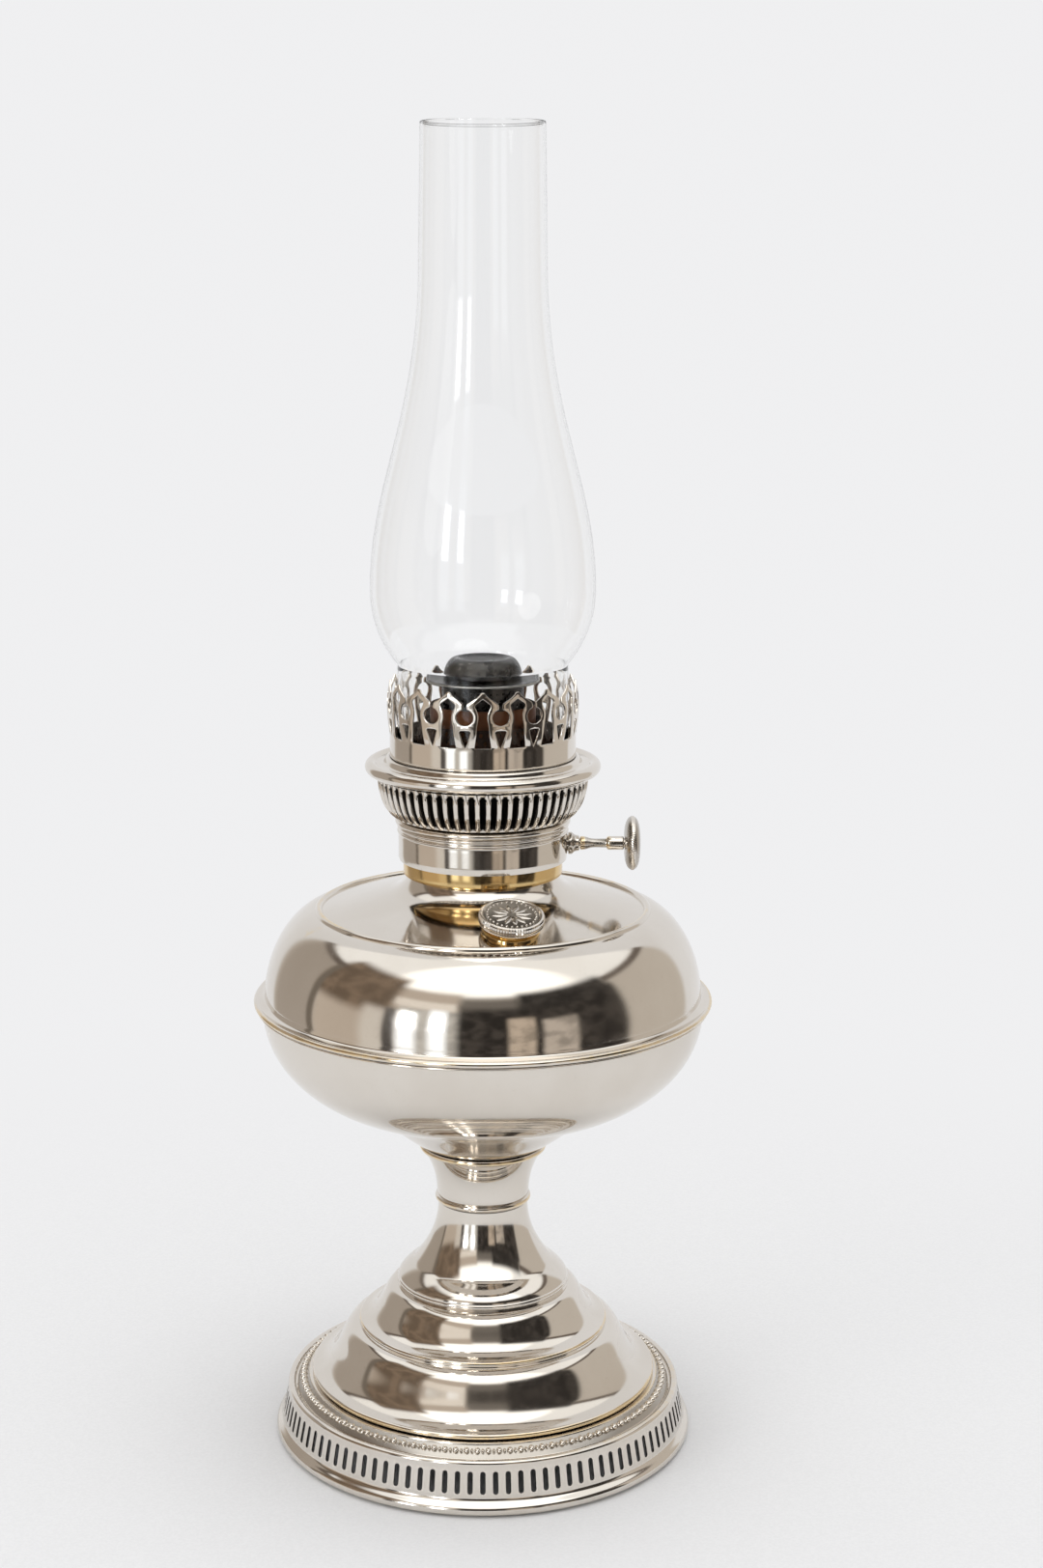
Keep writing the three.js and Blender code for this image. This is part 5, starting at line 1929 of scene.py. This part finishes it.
    def coronet(self) -> None:
        """Builds the crown of pointed arches."""
        place = span("chimney_coronet")
        eye = self.band + self.eye_rise
        crest = place.top - place.foot
        path = Outline()
        for step in range(self.arch_rows + 1):
            height = crest * step / self.arch_rows
            climb = max(height - self.band, 0.0) / self.eye_rise
            bowed = self.coronet_radius + self.bow * climb * (2 - climb)
            path.to((bowed - self.tip_draw * max(climb - 1, 0.0), place.foot + height))
        stretch = path.lengths()[-1] / crest
        pitch = 2 * math.pi * self.coronet_radius / self.arches
        edge, hole = ([(x, y * stretch) for x, y in loop] for loop in self.arch(pitch, crest, eye))
        sheet = PiercedSheet(
            path, self.coronet_sheet, self.arches, self.coronet_radius, [hole],
            even_columns(self.arch_columns), edge, room=0.45, lining=0.0,
        )
        front = Matrix.Rotation(-math.pi / 2, 4, "Z")
        coronet = self.shop.shape("coronet", sheet, Slot.NICKEL, front)
        rounded(coronet, self.edge_round)
        self.shop.settle(coronet, Body.GALLERY, Slot.NICKEL, "chimney_coronet")

    def arch(self, pitch: float, crest: float, eye: float) -> tuple[Loop, Loop]:
        """Draws one arch laid flat, with half an eye on each side.

        Args:
            pitch: Width of one arch.
            crest: Height of its tip.
            eye: Height of the eyes.

        Returns:
            The loop round the arch, and the keyhole inside it.
        """
        half, band, tip = pitch / 2, self.band, self.tip
        dart = eye - self.eye - self.strap
        slot = half - self.eye - self.strap
        brow = eye + self.eye + self.slit
        gap = math.degrees(math.asin(self.slit / 2 / self.eye))
        side = [(half, band * step / 6) for step in range(6)]
        side += [
            (half, band + 0.3), (half - 0.9, band + 2.4), (half - 2.2, dart - 0.5),
            (half - 1.7, dart - 0.1), (half, dart), (half, (dart + eye - self.eye) / 2),
        ]
        for step in range(13):
            angle = math.radians(-90 - (180 - gap) * step / 12)
            side.append((half + self.eye * math.cos(angle), eye + self.eye * math.sin(angle)))
        side += [
            (half - self.slit / 2, brow - 0.5), (half - self.slit * 0.7, brow + 0.8),
            (tip / 2 + 1.5, crest - 2.0), (tip / 2 + 0.3, crest - 0.9),
            (tip / 2 - 0.2, crest - 0.15), (tip / 4, crest),
        ]
        keyhole = [
            (slot + 1.4, band + 0.2), (slot + 1.3, band + 1.2), (slot + 1.0, band + 3.2),
            (slot + 0.7, band + 5.4), (slot + 0.45, eye - 3.6), (slot + 0.2, eye - 2.2),
            (slot - 0.05, eye - 0.8), (slot - 0.05, eye + 0.6), (slot + 0.25, eye + 1.9),
            (slot + 0.7, eye + 3.0), (slot + 1.2, eye + 4.0), (slot + 1.2, eye + 4.6),
            (slot + 0.85, eye + 5.1),
        ]
        foot = [(pitch * step / self.arch_columns - half, 0.0) for step in range(1, self.arch_columns)]
        edge = [*side, *[(-x, y) for x, y in reversed(side)], *foot]
        point = (0.0, crest - self.strap - 0.6)
        return edge, [*keyhole, point, *[(-x, y) for x, y in reversed(keyhole)]]

    def cone(self) -> None:
        """Builds the perforated air cone inside the coronet."""
        place = span("air_cone")
        radius, ledge = place.radius - self.cone_step[0], place.foot + self.cone_step[1]
        # The cone is darkened, most at its foot.
        path = Outline().to(
            (place.radius, place.foot, SOOT_AND_SHADE), (place.radius - 0.1, ledge, SOOT_AND_SHADE), (radius, ledge, -0.7),
        )
        start = len(path.points) - 1
        for step in range(1, self.cone_steps + 1):
            share = step / self.cone_steps
            climb = (place.top - place.foot - self.cone_step[1]) * share
            path.to((radius - (radius - self.cone_top) * share, ledge + climb, -0.5))
        sums = path.lengths()
        rows = [sums[start] + (sums[-1] - sums[start]) * row for row in self.cone_rows]
        pitch = 2 * math.pi * self.cone_datum / self.cone_holes
        holes = staggered(rows, pitch * self.cone_offset, *self.cone_hole, 10)
        sheet = PiercedSheet(path, self.cone_wall, self.cone_holes, self.cone_datum, holes, room=0.15)
        self.shop.make("draught_cone", sheet, Body.GALLERY, Slot.BROWNED, "air_cone")


# Glass and flame spreader


@dataclass
class Chimney(Assembly):
    """Clear chimney with a straight fitter, a low bulb and a long flue."""

    wall: float = 1.0
    # Radius and height above the lower edge
    fitter: Point = (33.3, 36.0)
    bulb: Point = (43.8, 65.0)
    flue_radius: float = 24.6
    flue_length: float = 58.8
    mouth: float = 23.7

    def build(self) -> None:
        """Builds the glass with its fire-polished edges."""
        place = span("glass_chimney")
        foot, edge = place.foot, self.wall / 2
        fitter, bulb = (self.fitter[0], foot + self.fitter[1]), (self.bulb[0], foot + self.bulb[1])
        lift = self.bulb[1] - self.fitter[1]
        draw = place.top - self.flue_length - foot - self.bulb[1]
        swell = bulb[0] - fitter[0]
        shrink = bulb[0] - self.flue_radius
        path = Outline().roll((fitter[0] - edge, foot + edge), edge, -90, 0, 5)
        path.to((fitter[0], foot + 2 * edge)).straight(*fitter, 16)
        path.curve((fitter[0] + 0.26 * swell, fitter[1] + 0.14 * lift),
                   (bulb[0], fitter[1] + 0.45 * lift), bulb, 24)
        path.curve((bulb[0], bulb[1] + 0.34 * draw),
                   (self.flue_radius + 0.1 * shrink, bulb[1] + 0.54 * draw),
                   (self.flue_radius, bulb[1] + draw), 36)
        path.straight(self.mouth, place.top - 2 * edge, 20).to((self.mouth, place.top - edge))
        path.roll((self.mouth - edge, place.top - edge), edge, 15, 90, 5)
        glass = Turning(path.walled(self.wall, 0.0))
        self.shop.make("chimney_glass", glass, Body.CHIMNEY, Slot.GLASS, "glass_chimney")


@dataclass
class FlameSpreader(Assembly):
    """Perforated thimble, thin flange and dished button over the wick."""

    wall: float = 0.8
    spigot: float = 14.9
    spigot_length: float = 11.0
    fullness: float = 0.7
    lift: float = 1.2
    repeats: int = 96
    rows: int = 8
    holes: int = 40
    hole: float = 0.48
    hole_rows: int = 4
    hole_foot: float = 1.6
    hole_rise: float = 2.5
    hole_offset: float = 0.24
    button_lip: float = 0.68

    def build(self) -> None:
        """Builds the thimble, the flange and the button."""
        self.thimble()
        self.flange()
        self.button()

    def thimble(self) -> None:
        """Builds the thimble with its rows of small holes."""
        place = span("spreader_thimble")
        radius, shoulder = place.radius, place.foot + self.spigot_length
        foot = shoulder + CHAMFER
        tall = place.top + self.lift - shoulder - CHAMFER
        path = Outline().to(
            (self.spigot, place.foot), (self.spigot, shoulder), (radius - CHAMFER, shoulder),
            (radius, foot),
        )
        first = path.lengths()[-1] + self.hole_foot
        path.to(*((radius, foot + tall * step / self.rows) for step in range(1, self.rows + 1)))
        rows = [first + row * self.hole_rise for row in range(self.hole_rows)]
        pitch = 2 * math.pi * radius / self.holes
        holes = staggered(rows, -self.hole_offset * pitch, self.hole, self.hole, 8)
        sheet = PiercedSheet(path, self.wall, self.holes, radius, holes, room=0.12)
        self.shop.make("thimble", sheet, Body.SPREADER, Slot.IRON, "spreader_thimble")

    def flange(self) -> None:
        """Builds the thin disc over the wick."""
        place = span("spreader_flange")
        edge = (place.top - place.foot) / 2
        radius = place.radius + self.fullness - edge
        foot, top = place.foot + self.lift, place.top + self.lift
        path = Outline().to((0.0, foot), (radius, foot))
        path.roll((radius, foot + edge), edge, -80, 80, 6, 1.2)
        path.to((radius - 0.4, top, 0.3), (0.0, top))
        disc = Turning(path, self.repeats, closed=False)
        self.shop.make("spreader_disc", disc, Body.SPREADER, Slot.IRON, "spreader_flange")

    def button(self) -> None:
        """Builds the dished button on top."""
        place = span("spreader_cap")
        foot, top = place.foot + self.lift, place.top
        rise = top - foot
        radius = place.radius + 1.5 * self.fullness
        lip = radius * self.button_lip
        path = Outline().to((0.0, foot), (radius - 0.4, foot), (radius, foot + 0.4))
        path.curve((radius * 0.98, foot + 0.45 * rise), (radius * 0.88, top), (lip, top), 16, 0.25)
        path.curve((lip - 0.9, top), (lip - 1.5, top - 0.8), (lip - 2.9, top - 1.0), 8, 0.35)
        path.curve((lip / 2, top - 1.4), (lip / 8, top - 1.5), (0.0, top - 1.5), 6, 0.35)
        button = Turning(path, self.repeats, closed=False)
        self.shop.make("spreader_button", button, Body.SPREADER, Slot.IRON, "spreader_cap")


# Studio


@dataclass(frozen=True)
class Panel:
    """A soft-edged part of the room that polished metal reflects, by direction in degrees."""

    left: float
    right: float
    low: float
    high: float
    colour: Colour
    soft: float
    clutter: float = 0.0


@dataclass(frozen=True)
class SoftLamp:
    """A round studio lamp."""

    name: str
    spot: tuple[float, float, float]
    size: float
    power: float


@dataclass
class Studio:
    """Pale floor, plain background, soft lamps, the room behind the camera, and the camera.

    Lengths are metres. Only the sensor is in millimetres, and the focal length, the frame height and
    the shift of the axis are in pixels.
    """

    rings: RingTree
    paper: Colour = (0.868, 0.868, 0.878)
    light: Colour = (0.92, 0.92, 0.93)
    ceiling: Colour = (1.12, 1.12, 1.11)
    floor_radius: float = 0.74
    floor_level: float = -0.0006
    floor_repeats: int = 96
    floor_dark: Colour = (0.74, 0.74, 0.74)
    floor_pale: Colour = (0.77, 0.77, 0.77)
    floor_grain: float = 900.0
    floor_rough: float = 0.9
    floor_gloss: float = 0.1
    floor_fade: Pair = (0.18, 0.62)
    clutter_scale: float = 7.0
    eye: tuple[float, float, float] = (0.0, -0.972, 0.4688)
    pitch: float = 11.61
    focal: float = 2610.0
    frame_height: float = 1624.0
    axis_shift: float = 40.0
    sensor: float = 36.0
    clip: Pair = (0.02, 50.0)
    aim: tuple[float, float, float] = (0.0, 0.0, 0.15)
    soft_lamps: tuple[SoftLamp, ...] = (
        SoftLamp("overhead", (0.15, -0.10, 1.6), 1.2, 6.0),
        SoftLamp("left_fill", (-1.3, -0.9, 0.9), 0.8, 3.0),
    )
    room: tuple[Panel, ...] = (
        # Pale wall behind the lamp, and the bright part of the ceiling
        Panel(126, 200, -60, 72, (0.85, 0.85, 0.86), 8.0),
        Panel(-200, -136, -60, 72, (0.85, 0.85, 0.86), 8.0),
        Panel(-62, 62, 40, 100, (1.75, 1.74, 1.70), 14.0),
        # Walls, with their corners and mouldings
        Panel(-140, 130, -60, 38, (0.62, 0.57, 0.51), 6.0),
        Panel(-138, -97, -60, 37, (0.44, 0.39, 0.34), 10.0),
        Panel(-97, -12, -60, 41, (0.60, 0.52, 0.44), 6.0),
        Panel(-102, -50, 12, 50, (0.17, 0.125, 0.09), 9.0, 0.6),
        Panel(-140, -98, 34, 39, (0.16, 0.13, 0.11), 3.0),
        Panel(-103, -98, -60, 36, (0.20, 0.17, 0.14), 3.0),
        Panel(78, 130, 33, 38, (0.16, 0.13, 0.11), 3.0),
        Panel(-66, -50, -60, 18, (0.76, 0.71, 0.65), 8.0),
        Panel(-53, -46, -60, 20, (0.10, 0.09, 0.085), 3.0),
        Panel(-46, -10, -60, 24, (0.46, 0.44, 0.41), 5.0, 0.4),
        Panel(-50, -14, 24, 31, (0.95, 0.88, 0.80), 4.0),
        # Dark side of the room, with two pale strips
        Panel(-13, 80, -60, 31, (0.030, 0.026, 0.023), 6.0, 1.4),
        Panel(-13, 22, 27, 37, (0.20, 0.18, 0.16), 8.0),
        Panel(20, 78, 25, 41, (0.034, 0.03, 0.027), 8.0, 1.0),
        Panel(13, 27, -60, 18, (0.62, 0.52, 0.42), 4.0, -0.4),
        Panel(31, 50, -60, 15, (0.60, 0.53, 0.46), 4.0, -0.4),
        # Two windows, with their bright upper panes
        Panel(-45, -35, -14, 20, (1.6, 1.68, 1.76), 5.0),
        Panel(-28, -19, -14, 24, (1.6, 1.68, 1.76), 5.0),
        Panel(-43.5, -36.5, 6, 19, (12.0, 12.3, 12.6), 1.5),
        Panel(-26.5, -20.5, 6, 19, (12.0, 12.3, 12.6), 1.5),
    )

    def build(self) -> None:
        """Builds everything round the lamp."""
        self.camera()
        self.floor()
        self.world()
        self.lamps()
        bpy.context.scene.view_settings.view_transform = "Standard"

    def camera(self) -> None:
        """Sets the camera in front of the lamp, looking a little down at it."""
        data = bpy.data.cameras.new("camera")
        data.sensor_fit = "VERTICAL"
        data.sensor_height = self.sensor
        data.lens = self.focal / self.frame_height * self.sensor
        data.clip_start, data.clip_end = self.clip
        data.shift_x = self.axis_shift / self.frame_height
        obj = bpy.data.objects.new("camera", data)
        obj.location = self.eye
        obj.rotation_euler = (math.radians(90 - self.pitch), 0.0, 0.0)
        bpy.context.collection.objects.link(obj)
        bpy.context.scene.camera = obj

    def floor(self) -> None:
        """Lays a round pale floor that fades into the background at its edge."""
        level = self.floor_level / MM
        path = Outline().to((0.0, level), (self.floor_radius / MM, level))
        disc = Turning(path, self.floor_repeats, closed=False)
        floor = self.rings.ring("floor", disc, self.floor_finish())
        if floor.data.polygons[0].normal.z <= 0:
            floor.data.flip_normals()

    def floor_finish(self) -> bpy.types.Material:
        """Builds the pale paper of the floor.

        Returns:
            The material.
        """
        material = bpy.data.materials.new("pale_paper")
        material.use_nodes = True
        graph = Graph(material.node_tree)
        nodes = material.node_tree.nodes
        shader = nodes["Principled BSDF"]
        place = graph.place()
        grain = graph.between(graph.noise(place, self.floor_grain, 3.0), 0.3, 0.7)
        graph.feed(shader.inputs["Base Color"], graph.mix(grain, self.floor_dark, self.floor_pale))
        shader.inputs["Roughness"].default_value = self.floor_rough
        shader.inputs["Specular IOR Level"].default_value = self.floor_gloss
        distance = graph.add("ShaderNodeVectorMath", {0: place}, operation="LENGTH").outputs["Value"]
        rays = graph.add("ShaderNodeLightPath").outputs
        seen = graph.math("MAXIMUM", rays["Is Camera Ray"], rays["Is Transmission Ray"])
        fade = graph.math("MULTIPLY", seen, graph.between(distance, *self.floor_fade))
        glow = graph.add("ShaderNodeEmission", {"Color": (*self.paper, 1.0), "Strength": 1.0})
        mixed = graph.add("ShaderNodeMixShader", {0: fade, 1: shader.outputs[0], 2: glow.outputs[0]})
        graph.feed(nodes["Material Output"].inputs["Surface"], mixed.outputs[0])
        return material

    def world(self) -> None:
        """Sets the plain background and, for polished surfaces, the room behind the camera."""
        world = bpy.data.worlds.new("studio")
        bpy.context.scene.world = world
        world.use_nodes = True
        graph = Graph(world.node_tree)
        seen = self.mirrored_room(graph)
        rays = graph.add("ShaderNodeLightPath").outputs
        straight = graph.math("MAXIMUM", rays["Is Camera Ray"], rays["Is Transmission Ray"])
        plain = graph.mix(straight, self.light, self.paper)
        bounced = graph.math("MINIMUM", rays["Glossy Depth"], 1.0)
        mirrored = graph.math("SUBTRACT", bounced, rays["Is Diffuse Ray"])
        shown = graph.mix(graph.math("MAXIMUM", mirrored, 0.0), plain, seen)
        graph.feed(world.node_tree.nodes["Background"].inputs["Color"], shown)

    def mirrored_room(self, graph: Graph) -> Any:
        """Paints the panels of the room over its ceiling.

        Args:
            graph: The world's graph.

        Returns:
            The colour of the room in each direction.
        """
        way = graph.add("ShaderNodeTexCoord").outputs["Generated"]
        part = graph.add("ShaderNodeSeparateXYZ", {"Vector": way}).outputs
        back = graph.math("MULTIPLY", part["Y"], -1.0)
        azimuth = graph.math("MULTIPLY", graph.math("ARCTAN2", part["X"], back), 180 / math.pi)
        elevation = graph.math("MULTIPLY", graph.math("ARCSINE", part["Z"]), 180 / math.pi)
        things = graph.between(graph.noise(way, self.clutter_scale, 4.0), 0.38, 0.66)
        seen: Any = self.ceiling
        for panel in self.room:
            soft = panel.soft / 2
            masks = []
            for angle, start, end in (
                (azimuth, panel.left, panel.right), (elevation, panel.low, panel.high),
            ):
                rise = graph.between(angle, start - soft, start + soft)
                fall = graph.between(angle, end - soft, end + soft, 1.0, 0.0)
                masks.append(graph.math("MULTIPLY", rise, fall))
            lit = tuple(value * (1 + panel.clutter) for value in panel.colour)
            seen = graph.mix(graph.math("MULTIPLY", *masks), seen, graph.mix(things, panel.colour, lit))
        return seen

    def lamps(self) -> None:
        """Hangs one large soft lamp above and a weaker one at the left."""
        for lamp in self.soft_lamps:
            data = bpy.data.lights.new(lamp.name, "AREA")
            data.shape = "DISK"
            data.size = lamp.size
            data.energy = lamp.power
            obj = bpy.data.objects.new(lamp.name, data)
            obj.location = lamp.spot
            way = Vector(self.aim) - Vector(lamp.spot)
            obj.rotation_euler = way.to_track_quat("-Z", "Y").to_euler()
            obj.visible_glossy = False
            bpy.context.collection.objects.link(obj)


ASSEMBLIES = (Foot, Stem, Font, Filler, Burner, WickRaiser, Gallery, Chimney, FlameSpreader)


def main() -> None:
    """Builds the lamp and its studio."""
    logging.basicConfig(level=logging.INFO, format="%(name)s: %(message)s")
    shop = Workshop()
    Studio(shop.rings).build()
    for assembly in ASSEMBLIES:
        assembly(shop).build()


if __name__ == "__main__":
    main()
